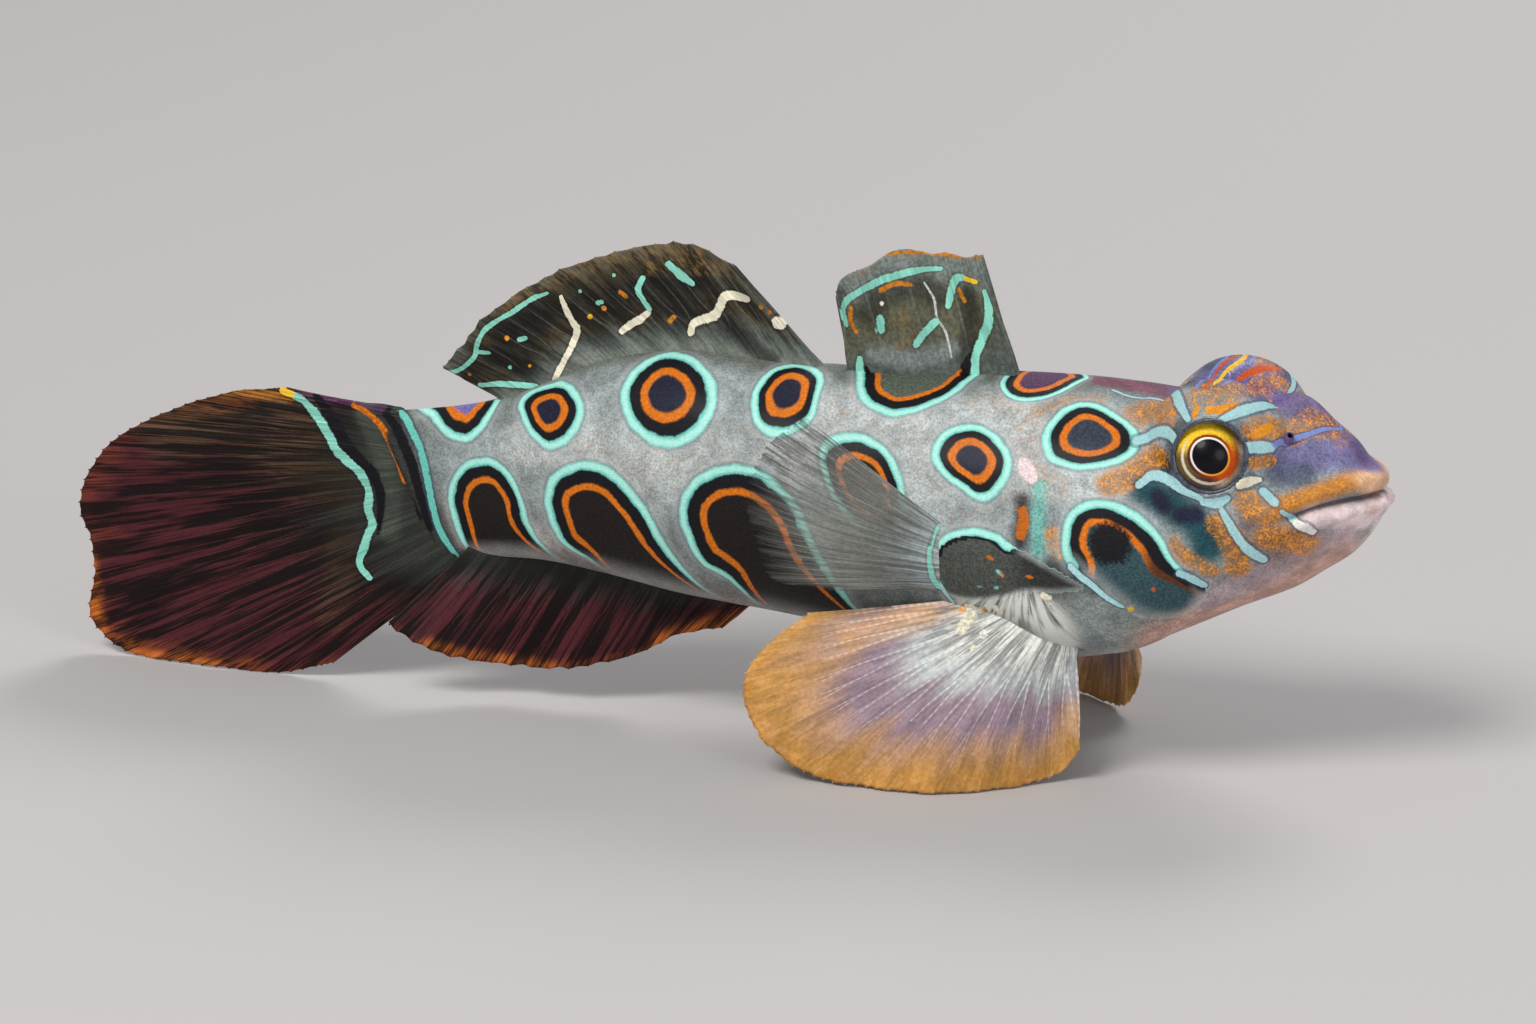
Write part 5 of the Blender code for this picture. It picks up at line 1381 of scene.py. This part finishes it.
def makeRays(name, form, paint, side, material, rayTree):
    spots, shares, levels, edges = [], [], [], []
    for across, along, level in rayLines(form):
        reach = along * (1 - tipLoss(form, across, side))
        edges += [(len(shares) + k, len(shares) + k + 1) for k in range(len(along) - 1)]
        spots.append(finPoints(form, across, reach, side)[0])
        shares += list(zip(across, reach))
        levels += [level] * len(along)
    spots, shares, levels = np.vstack(spots), np.array(shares), np.array(levels)
    wide, narrow = form["rayWidth"]
    radius = (wide + (narrow - wide) * shares[:, 1] ** 0.7) * np.array([1.0, 0.82, 0.72])[levels]
    spots[:, 2] = np.maximum(spots[:, 2], radius + 0.02)
    mesh = bpy.data.meshes.new(name)
    mesh.from_pydata((spots * mm).tolist(), edges, [])
    fields = finFields(form, paint, spots, shares[:, 0], shares[:, 1], side, True)
    fields["rayRadius"] = radius * mm
    addFields(mesh, fields)
    piece = addObject(name, mesh)
    modifier = piece.modifiers.new("rays", "NODES")
    modifier.node_group = rayTree
    wanted = {"Thickness": 1.0, "Facets": finRules["facets"], "Seed": form["seed"], "Material": material}
    for socket in rayTree.interface.items_tree:
        if socket.name in wanted and socket.in_out == "INPUT":
            modifier[socket.identifier] = wanted[socket.name]
    bpy.context.view_layer.update()
    evaluated = piece.evaluated_get(bpy.context.evaluated_depsgraph_get())
    shaped = bpy.data.meshes.new_from_object(evaluated)
    piece.modifiers.clear()
    piece.data = shaped
    bpy.data.meshes.remove(mesh)
    return piece

finPaints = {
    "dorsal_fin_front": {
        "shake": 0.03,
        "gradient": ((0, "finGrey"), (0.20, "sailBase"), (0.42, "sailOlive"), (0.66, "sailOlive"),
            (0.86, "sailGrey"), (1, "sailGrey")),
        "washes": (
            (((6.3, 18.0), (6.2, 20.0), (6.5, 21.2)), 0.3, 0.6, "sailBrown"),
            (((14.5, 18.3), (14.2, 20.5), (13.9, 23)), 0.5, 0.7, "sailBase"),
            (((7.8, 20.3), (8.6, 21.2), (10.2, 21.6), (11.2, 21.2)), 0.6, 0.6, "sailDark"),
            (((12.5, 18.6), (12.8, 20), (12.6, 21.4)), 0.5, 0.65, "sailDark"),
            (((8.2, 18.4), (10.2, 18.2), (11.8, 18.8)), 0.45, 0.35, "greyBlue"),
        ),
        "stipple": ((((8.6, 23.2), (11, 23.2), (13.3, 23.3)), 0.3, 0.35),
            (((7.2, 22.1), (8.2, 22.7)), 0.3, 0.3), (((9.4, 20.2), (9.9, 19.2), (9.3, 18.9)), 0.45, 0.3),
            (((13.6, 20.0), (14.0, 21.4)), 0.3, 0.25)),
        "strokes": (
            (((6.75, 19.6, .13), (6.6, 20.3, .15), (6.85, 20.85, .17), (7.3, 21.2, .17), (8.0, 21.65, .18),
                (8.7, 22.0, .2), (9.6, 22.25, .16), (10.5, 22.45, .14), (11.2, 22.5, .1)), "seaGreen"),
            (((8.45, 20.05, .2), (8.45, 19.55, .24)), "seaGreen"),
            (((10.15, 18.9, .17), (10.5, 19.45, .21), (11.0, 20.0, .17)), "seaGreen"),
            (((12.3, 22.2, .17), (11.95, 22.1, .2), (11.75, 21.6, .18), (11.6, 20.8, .15)), "seaGreen"),
            (((12.4, 22.2, .14), (13.0, 22.1, .12)), "yellow"),
            (((13.45, 21.7, .12), (13.65, 20.9, .22), (13.6, 20.1, .24), (13.35, 19.4, .22),
                (13.1, 18.7, .2), (13.1, 17.6, .22)), "seaGreen"),
            (((7.47, 18.07, 0.14), (7.49, 17.70, 0.19), (7.61, 17.15, 0.20), (7.76, 16.60, 0.20)),
                "seaGreen"),
        ),
        "spots": (
            (((8.6, 23.12, .06), (10, 23.22, .09), (11.7, 23.2, .10), (13.2, 23.4, .09)), "ochre"),
            (((8.5, 21.45, .12), (9.1, 21.75, .14), (9.8, 21.7, .11)), "ochre"),
            (((7.05, 20.5, .1), (7.0, 19.8, .13), (7.3, 19.3, .11)), "ochre"),
            (((8.54, 20.8, .11),), "white"),
            (((10.4, 21.85, .04), (10.9, 21.1, .06), (11.1, 20.2, .05), (11.5, 19.6, .06),
                (11.9, 18.4, .04)), "paleGrey"),
            (((12.1, 21.6, .12), (12.4, 21.1, .12)), "ochre"),
            (((12.78, 18.57, 0.12), (12.64, 18.10, 0.26), (12.45, 17.53, 0.28), (12.08, 16.95, 0.25)),
                "ringBlack"),
            (((12.41, 17.86, 0.08), (12.08, 17.54, 0.13), (11.61, 17.13, 0.13)), "ringOrange"),
            (((7.81, 17.72, 0.08), (7.98, 17.27, 0.20), (8.18, 16.73, 0.22)), "ringBlack"),
            (((8.10, 17.04, 0.08), (8.36, 16.61, 0.12)), "ringOrange"),
        ),
    },
    "dorsal_fin_rear": {
        "shake": 0.05,
        "gradient": ((0, "greyBlue"), (0.16, "finGrey"), (0.30, "sailBase"), (0.48, "sailBrown"),
            (0.70, "sailDark"), (0.86, "sailBrown"), (1, "sailEdge")),
        "washes": (
            (((-9.5, 16.6), (-9.9, 17.6), (-8.9, 18.6)), 1.0, 0.8, "sailDark"),
            (((-2.6, 20.4), (-1.2, 19.4)), 0.9, 0.75, "sailDark"),
            (((-5.2, 19.2), (-4.3, 19.9)), 0.8, 0.6, "sailDark"),
            (((0.9, 19.2), (1.9, 18.3), (3.2, 17.6)), 0.4, 0.8, "sailDark"),
            (((-6.2, 16.6), (-3.6, 17.0), (-1.0, 17.4)), 0.6, 0.4, "finGrey"),
            (((0.5, 21.6), (2.4, 20.6), (4.2, 19.2)), 0.7, 0.6, "sailEdge"),
            (((3.4, 21.1), (4.7, 19.7), (6.1, 18.0)), 0.16, 0.8, "violet"),
            (((-13.5, 15.7), (-12.6, 16.6)), 0.5, 0.6, "finGrey"),
        ),
        "stipple": (
            (((-8, 20.7), (-5.5, 21.8), (-3.0, 22.4), (-0.6, 22.5)), 0.55, 0.28),
            (((-10.2, 19.2), (-8.6, 20.3)), 0.4, 0.28),
            (((-3.0, 21.6), (0.5, 21.8)), 0.5, 0.32),
        ),
        "strokes": (
            (((-8.1, 20.0, .08), (-9.0, 19.6, .12), (-9.8, 19.0, .13), (-10.6, 18.5, .13),
                (-11.2, 18.0, .12), (-11.6, 17.3, .12), (-11.75, 16.7, .12), (-12.2, 16.2, .12),
                (-12.8, 15.8, .11), (-13.4, 15.7, .08)), "seaGreen"),
            (((-11.6, 16.9, .10), (-11.0, 16.9, .09)), "seaGreen"),
            (((-7.45, 19.85, .10), (-7.2, 19.3, .15), (-6.9, 18.75, .17), (-6.65, 18.3, .17),
                (-6.85, 17.6, .16), (-7.2, 16.9, .15), (-7.5, 16.3, .15), (-7.8, 15.6, .12)), "cream"),
            (((-11.6, 15.2, .12), (-10.35, 15.4, .14), (-8.6, 15.5, .12)), "seaGreen"),
            (((-9.5, 17.65, .13), (-9.2, 17.75, .13)), "seaGreen"), (((-10.0, 16.25, .12),), "seaGreen"),
            (((-5.6, 19.7, .13), (-5.4, 19.75, .12)), "seaGreen"), (((-6.5, 20.2, .11),), "seaGreen"),
            (((-4.8, 21.1, .10),), "seaGreen"),
            (((-3.4, 21.05, .14), (-3.6, 20.5, .15), (-3.35, 20.0, .15), (-3.05, 19.6, .14)), "seaGreen"),
            (((-3.1, 19.4, .14), (-3.5, 19.05, .19), (-4.0, 18.75, .20), (-4.4, 18.4, .16)), "cream"),
            (((-2.2, 21.75, .15), (-1.6, 21.3, .22), (-1.0, 20.9, .15)), "seaGreen"),
            (((1.8, 20.4, .17), (1.2, 20.5, .22), (0.65, 20.4, .22), (0.4, 19.9, .22), (0.1, 19.45, .22),
                (-0.5, 19.2, .22), (-0.9, 19.0, .20), (-0.95, 18.6, .16)), "cream"),
            (((3.3, 19.4, .28), (3.5, 19.35, .26)), "cream"),
        ),
        "spots": (
            (((-5.3, 19.45, .14),), "brightOrange"), (((-10.1, 17.7, .13),), "brightOrange"),
            (((-12.1, 15.7, .10),), "ochre"), (((-2.0, 19.1, .13), (-1.8, 19.3, .1)), "ochre"),
            (((2.5, 20.1, .13),), "ochre"), (((2.95, 19.9, .12),), "ochre"),
                (((-6.0, 19.0, .12),), "yellow"),
            (((-4.5, 20.3, .11), (-4.2, 20.1, .10)), "ochre"), (((-9.0, 16.4, .10),), "brightOrange"),
        ),
    },
    "anal_fin": {
        "shake": 0.06,
        "gradient": ((0, "baseOlive"), (0.25, "finShadow"), (0.5, "maroon"), (0.9, "maroon"),
            (1, "maroonEdge")),
        "washes": ((((1.6, 4.7), (-0.6, 3.9), (-2.4, 3.1)), 0.6, 0.55, "amberEdge"),
            (((-13.5, 2.4), (-10.5, 1.7), (-8.0, 1.5)), 0.5, 0.5, "amberEdge")),
        "stipple": ((((0.4, 4.2), (-3.6, 2.5), (-8.9, 1.5), (-14.3, 2.6)), 0.45, 0.30),),
    },
    "tail_fin": {
        "shake": 0.07,
        "gradient": ((0, "baseOlive"), (0.16, "baseOlive"), (0.32, "brownOlive"), (0.5, "maroon"),
            (0.9, "maroon"), (1, "maroonEdge")),
        "washes": (
            (((-21.5, 13.9), (-18.5, 13.8), (-16.5, 13.7)), 0.22, 0.8, "plum"),
            (((-25.0, 13.5), (-22.4, 13.7), (-21.6, 13.6)), 0.25, 0.8, "ochre"),
            (((-28.0, 11.7), (-24.5, 12.5), (-21.0, 12.6)), 1.6, 0.75, "tailOlive"),
            (((-23.5, 11.0), (-21.5, 10.4), (-19.0, 9.6)), 1.3, 0.6, "tailOlive"),
            (((-17.4, 13.2), (-16.6, 11.6), (-16.2, 9.6), (-16.3, 7.6)), 0.6, 0.6, "finOlive"),
            (((-19.3, 3.2), (-19.0, 5.0), (-18.8, 6.8)), 0.9, 0.5, "tailOlive"),
            (((-32.6, 4.8), (-32.4, 2.6), (-31.9, 0.9)), 0.45, 0.6, "amberEdge"),
            (((-31, 0.1), (-28, 0.1), (-25, 0.1)), 0.3, 0.5, "amberEdge"),
        ),
        "stipple": (
            (((-32.4, 4.6), (-31.6, 1.0), (-28, 0.3), (-23, 0.2)), 0.6, 0.30),
            (((-27, 12.6), (-23.5, 13.4)), 0.5, 0.30),
        ),
        "strokes": (
            (((-21.9, 14.05, .16), (-21.3, 13.85, .18)), "yellow"),
            (((-21.2, 13.8, .2), (-20.85, 13.65, .22), (-20.3, 13.15, .24), (-19.85, 12.55, .24),
                (-19.45, 12.0, .23), (-19.15, 11.4, .24), (-18.6, 10.9, .24), (-17.95, 10.45, .24),
                (-17.5, 9.9, .24), (-17.35, 9.25, .23), (-17.42, 8.6, .24), (-17.2, 7.9, .24),
                (-17.48, 7.2, .24), (-17.66, 6.6, .23), (-17.9, 6.0, .22), (-17.8, 5.55, .20),
                (-17.35, 5.15, .14)), "seaGreen"),
        ),
        "spots": (
            (((-20.1, 13.9, .22), (-19.5, 13.2, .30), (-19.0, 12.4, .34), (-18.5, 11.6, .36),
                (-17.9, 11.0, .36), (-17.15, 10.4, .34), (-16.75, 9.5, .28), (-16.75, 8.4, .20),
                (-16.9, 7.4, .10)), "ringBlack"),
            (((-18.15, 13.65, .12), (-17.3, 13.4, .16), (-16.6, 12.9, .17), (-16.15, 12.2, .18),
                (-15.85, 11.5, .17), (-15.6, 10.8, .14), (-15.45, 10.1, .08)), "ringOrange"),
            (((-16.3, 13.5, .2), (-15.6, 12.6, .28), (-15.1, 11.6, .32), (-14.85, 10.5, .32),
                (-14.7, 9.2, .26), (-14.6, 8.4, .14)), "ringBlack"),
        ),
    },
    "pelvic_fin": {
        "shake": 0.06,
        "gradient": ((0, "boneWhite"), (0.22, "boneWhite"), (0.36, "paleGrey"), (0.50, "lilacGrey"),
            (0.62, "lilacGrey"), (0.76, "pinkAmber"), (0.90, "amber"), (0.95, "rimAmber"), (1, "amber")),
        "clear": ((0, 0), (0.22, 0.04), (0.45, 0.22), (0.8, 0.26), (1, 0.16)),
        "washes": (
            (((0.0, 0.30), (0.0, 0.55), (0.0, 0.85)), 0.9, 0.5, "rimAmber"),
            (((0.05, 0.30), (0.08, 0.5), (0.10, 0.7)), 0.8, 0.45, "pinkGrey"),
            (((0.16, 0.65), (0.2, 0.85)), 1.3, 0.45, "amber"),
            (((0.10, 0.35), (0.14, 0.6)), 0.7, 0.5, "lightOrange"),
            (((0.98, 0.3), (0.97, 0.6), (0.97, 0.9)), 0.6, 0.5, "paleGrey"),
            (((0.93, 0.7), (0.90, 0.9)), 0.9, 0.55, "amber"),
        ),
        "stipple": ((((0.1, 0.97), (0.4, 0.97), (0.85, 0.97)), 0.8, 0.3),),
        "spots": (
            (((0.20, 0.17, .30), (0.26, 0.22, .24)), "cream"), (((0.12, 0.20, .2),), "lightOrange"),
            (((0.36, 0.18, .22),), "white"), (((0.40, 0.24, .18),), "cream"),
        ),
    },
    "pectoral_fin": {
        "shake": 0.08,
        "gradient": ((0, "paleGrey"), (0.16, "greyBlue"), (0.34, "smoke"), (0.7, "smoke"),
            (1, "brownOlive")),
        "clear": ((0, 0.0), (0.12, 0.12), (0.3, 0.42), (0.6, 0.66), (1, 0.84)),
        "strokes": (
            (((0.04, 0.105, .08), (0.35, 0.115, .12), (0.62, 0.118, .14), (0.95, 0.11, .12)), "seaGreen"),
        ),
    },
}

# Shade of the membrane's dark and light streaks, at the root and at the edge, and the rays' paint.
finLooks = {
    "sail": {"dark": (0.90, 0.82), "light": (1.05, 1.12), "ray": "paleGrey", "rayShare": 0.14, "count": 5.0,
        "length": 0.4, "gap": (0.15, 0.85), "grain": (0.76, 1.18), "fleck": "sailTan", "clear": False},
    "dorsal": {"dark": (0.74, 0.50), "light": (1.10, 1.75), "ray": "paleGrey", "rayShare": 0.16,
        "count": 5.0, "length": 0.35, "gap": (0.20, 0.88), "grain": (0.84, 1.12), "fleck": "sailTan",
        "clear": False},
    "tail": {"dark": (0.70, 0.22), "light": (1.20, 3.2), "ray": "maroonRay", "rayShare": 0.40, "count": 7.0,
        "length": 0.16, "gap": (0.34, 0.90), "grain": (0.90, 1.08), "fleck": "amberEdge", "clear": False},
    "pelvic": {"dark": (0.38, 0.78), "light": (1.12, 1.16), "ray": "boneWhite", "rayShare": 0.62,
        "count": 4.0, "length": 0.5, "gap": (0.15, 0.85), "grain": (0.90, 1.08), "fleck": "ochre",
        "clear": True},
    "pectoral": {"dark": (0.42, 0.75), "light": (1.15, 1.25), "ray": "paleGrey", "rayShare": 0.35,
        "count": 4.0, "length": 0.4, "gap": (0.15, 0.85), "grain": (0.90, 1.08), "fleck": "ochre",
        "clear": True},
}

def makeFinMaterial(name, look):
    material, tree, shader = startMaterial(name, Roughness=0.5, Coat_Weight=0.05, Coat_Roughness=0.25,
        IOR=1.25)
    place = millimetres(tree)
    ray, share = field(tree, "finRay"), field(tree, "finShare")
    broad, fine = rayStreaks(tree, look, "Streak", 0.55), rayStreaks(tree, look, "Streak", 2.2, 0.7)
    streak = plus(tree, times(tree, broad, 0.6), times(tree, fine, 0.4))
    contrast = smoothStep(tree, streak, *look["gap"])
    outward = smoothStep(tree, share, 0.12, 0.55)
    darker = smoothStep(tree, outward, 0.0, 1.0, *look["dark"])
    lighter = smoothStep(tree, outward, 0.0, 1.0, *look["light"])
    factor = plus(tree, darker, times(tree, minus(tree, lighter, darker), contrast))
    base = field(tree, "finColour", "Color")
    colour = shade(tree, base, factor)
    grain = noise(tree, place, 5.5, 2.0, 0.6)
    brush = smoothStep(tree, grain, 0.34, 0.66)
    colour = shade(tree, colour, smoothStep(tree, brush, 0.0, 1.0, *look["grain"]))
    joint = calc(tree, "SINE", times(tree, field(tree, "finAlong"), 17.0), None)
    rayPaint = blend(tree, 0.6, rgba(look["ray"]), shade(tree, base, 1.5))
    rayPaint = shade(tree, rayPaint, smoothStep(tree, joint, -1.0, 1.0, 0.72, 1.10))
    shareOfRay = times(tree, times(tree, ray, outward), look["rayShare"])
    colour = blend(tree, shareOfRay, colour, rayPaint)
    warm = rayStreaks(tree, look, "Fleck", 1.4)
    amount = smoothStep(tree, field(tree, "orangeAmount"), 0.05, 0.5)
    warm = times(tree, times(tree, warm, amount), 0.75)
    colour = blend(tree, warm, colour, rgba(look["fleck"]))
    spot = unevenDepth(tree, place, "spotDepth", 0.5, 0.8)
    spotPaint = shade(tree, field(tree, "spotColour", "Color"),
        smoothStep(tree, brush, 0.0, 1.0, 0.66, 1.1))
    painted = smoothStep(tree, spot, -0.2, 0.3)
    colour = blend(tree, painted, colour, spotPaint)
    stroke = unevenDepth(tree, place, "strokeDepth", 0.8, 0.7)
    paint = shade(tree, field(tree, "strokeColour", "Color"),
        smoothStep(tree, streak, 0.1, 0.9, 0.80, 1.10))
    inked = placeGroup(tree, inkLine, {
        "Base": colour, "Paint": paint, "Border": rgba("ringBlack", 0.7), "Depth": stroke,
            "Border Width": 0.5,
        "Border Strength": 0.28})
    tree.links.new(inked["Color"], shader.inputs["Base Color"])
    if look["clear"]:
        clear = field(tree, "finClear")
        clear = times(tree, clear, smoothStep(tree, contrast, 0.0, 1.0, 0.75, 1.15))
        thread = smoothStep(tree, share, 0.45, 1.0, 0.50, 1.0)
        clear = times(tree, clear, blend(tree, ray, (1, 1, 1, 1), thread))
        solid = calc(tree, "MAXIMUM", inked["Mask"], painted)
        clear = times(tree, clear, minus(tree, 1.0, times(tree, solid, 0.8)))
        tree.links.new(calc(tree, "SUBTRACT", 1.0, clear, clamp=True), shader.inputs["Alpha"])
    addBump(tree, shader, streak, 0.45, 0.14)
    return material

print("fins")
rayTree = makeRayTree()
sailMaterial = makeFinMaterial("first fin membrane", finLooks["sail"])
dorsalMaterial = makeFinMaterial("olive fin membrane", finLooks["dorsal"])
tailMaterial = makeFinMaterial("maroon fin membrane", finLooks["tail"])
pelvicMaterial = makeFinMaterial("amber fin membrane", finLooks["pelvic"])
pectoralMaterial = makeFinMaterial("smoky fin membrane", finLooks["pectoral"])
finList = [
    ("dorsal_fin_front", "dorsal_fin_front", -1, sailMaterial, "dorsal_fin"),
    ("dorsal_fin_rear", "dorsal_fin_rear", -1, dorsalMaterial, "dorsal_fin"),
    ("anal_fin", "anal_fin", -1, tailMaterial, "tail_fin"),
        ("tail_fin", "tail_fin", -1, tailMaterial, "tail_fin"),
]
for side, word in ((-1, "right"), (1, "left")):
    finList.append((f"pelvic_fin_{word}", "pelvic_fin", side, pelvicMaterial, "pelvic_fin"))
    finList.append((f"pectoral_fin_{word}", "pectoral_fin", side, pectoralMaterial, "pectoral_fin"))
for node, kind, side, material, slotName in finList:
    form, paint = finForms[kind], finPaints[kind]
    membrane = makeMembrane(f"{node}_membrane", form, paint, side, material)
    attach(membrane, "root")
    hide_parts(node)
    rays = makeRays(f"{node}_rays", form, paint, side, material, rayTree)
    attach(rays, "root")

studio = {
    "target": (2.845, 0.0, 10.130), "distance": 330.0, "azimuth": 18.0, "elevation": 15.5, "lens": 163.33,
    "floorHalf": 3.0, "floorColour": (0.50, 0.48, 0.47, 1), "airColour": (0.80, 0.83, 0.88, 1), "air": 0.38,
    "aim": (0.0, 0.0, 0.01), "lightSize": 0.20,
    "lights": {  # place in metres, power, colour
        "key_light": ((-0.10, -0.26, 0.36), 1.42, (1.0, 0.98, 0.95)),
        "fill_light": ((0.30, -0.22, 0.12), 0.44, (0.93, 0.96, 1.0)),
        "back_light": ((0.05, 0.32, 0.30), 0.75, (1.0, 0.97, 0.98)),
    },
}

def makeStage():
    mesh = bpy.data.meshes.new("studio_floor")
    half = studio["floorHalf"]
    mesh.from_pydata([(-half, -half, 0), (half, -half, 0), (half, half, 0), (-half, half, 0)], [],
        [(0, 1, 2, 3)])
    floor = addObject("studio_floor", mesh)
    material, _, shader = startMaterial("pale floor", Roughness=0.8)
    shader.inputs["Base Color"].default_value = studio["floorColour"]
    mesh.materials.append(material)
    world = bpy.data.worlds.new("studio air")
    bpy.context.scene.world = world
    world.use_nodes = True
    air = world.node_tree.nodes["Background"].inputs
    air[0].default_value, air[1].default_value = studio["airColour"], studio["air"]

def aimLight(name, place, power, colour):
    light = bpy.data.lights.new(name, "AREA")
    light.shape = "DISK"
    light.size = studio["lightSize"]
    light.energy = power
    light.color = colour
    item = addObject(name, light)
    item.location = Vector(place)
    item.rotation_euler = (Vector(place) - Vector(studio["aim"])).to_track_quat("Z", "Y").to_euler()

def setCamera():
    azimuth, elevation = math.radians(studio["azimuth"]), math.radians(studio["elevation"])
    back = Vector((math.sin(azimuth) * math.cos(elevation), -math.cos(azimuth) * math.cos(elevation),
                   math.sin(elevation)))
    camera = bpy.data.cameras.new("camera")
    camera.lens = studio["lens"]
    camera.sensor_width = 36.0
    camera.sensor_fit = "HORIZONTAL"
    camera.clip_start = 0.01
    camera.clip_end = 20.0
    item = addObject("camera", camera)
    item.location = Vector(studio["target"]) * mm + back * studio["distance"] * mm
    item.rotation_euler = back.to_track_quat("Z", "Y").to_euler()
    bpy.context.scene.camera = item

print("stage")
makeStage()
for name, (place, power, colour) in studio["lights"].items():
    aimLight(name, place, power, colour)
bpy.context.scene.view_settings.view_transform = "Standard"
setCamera()
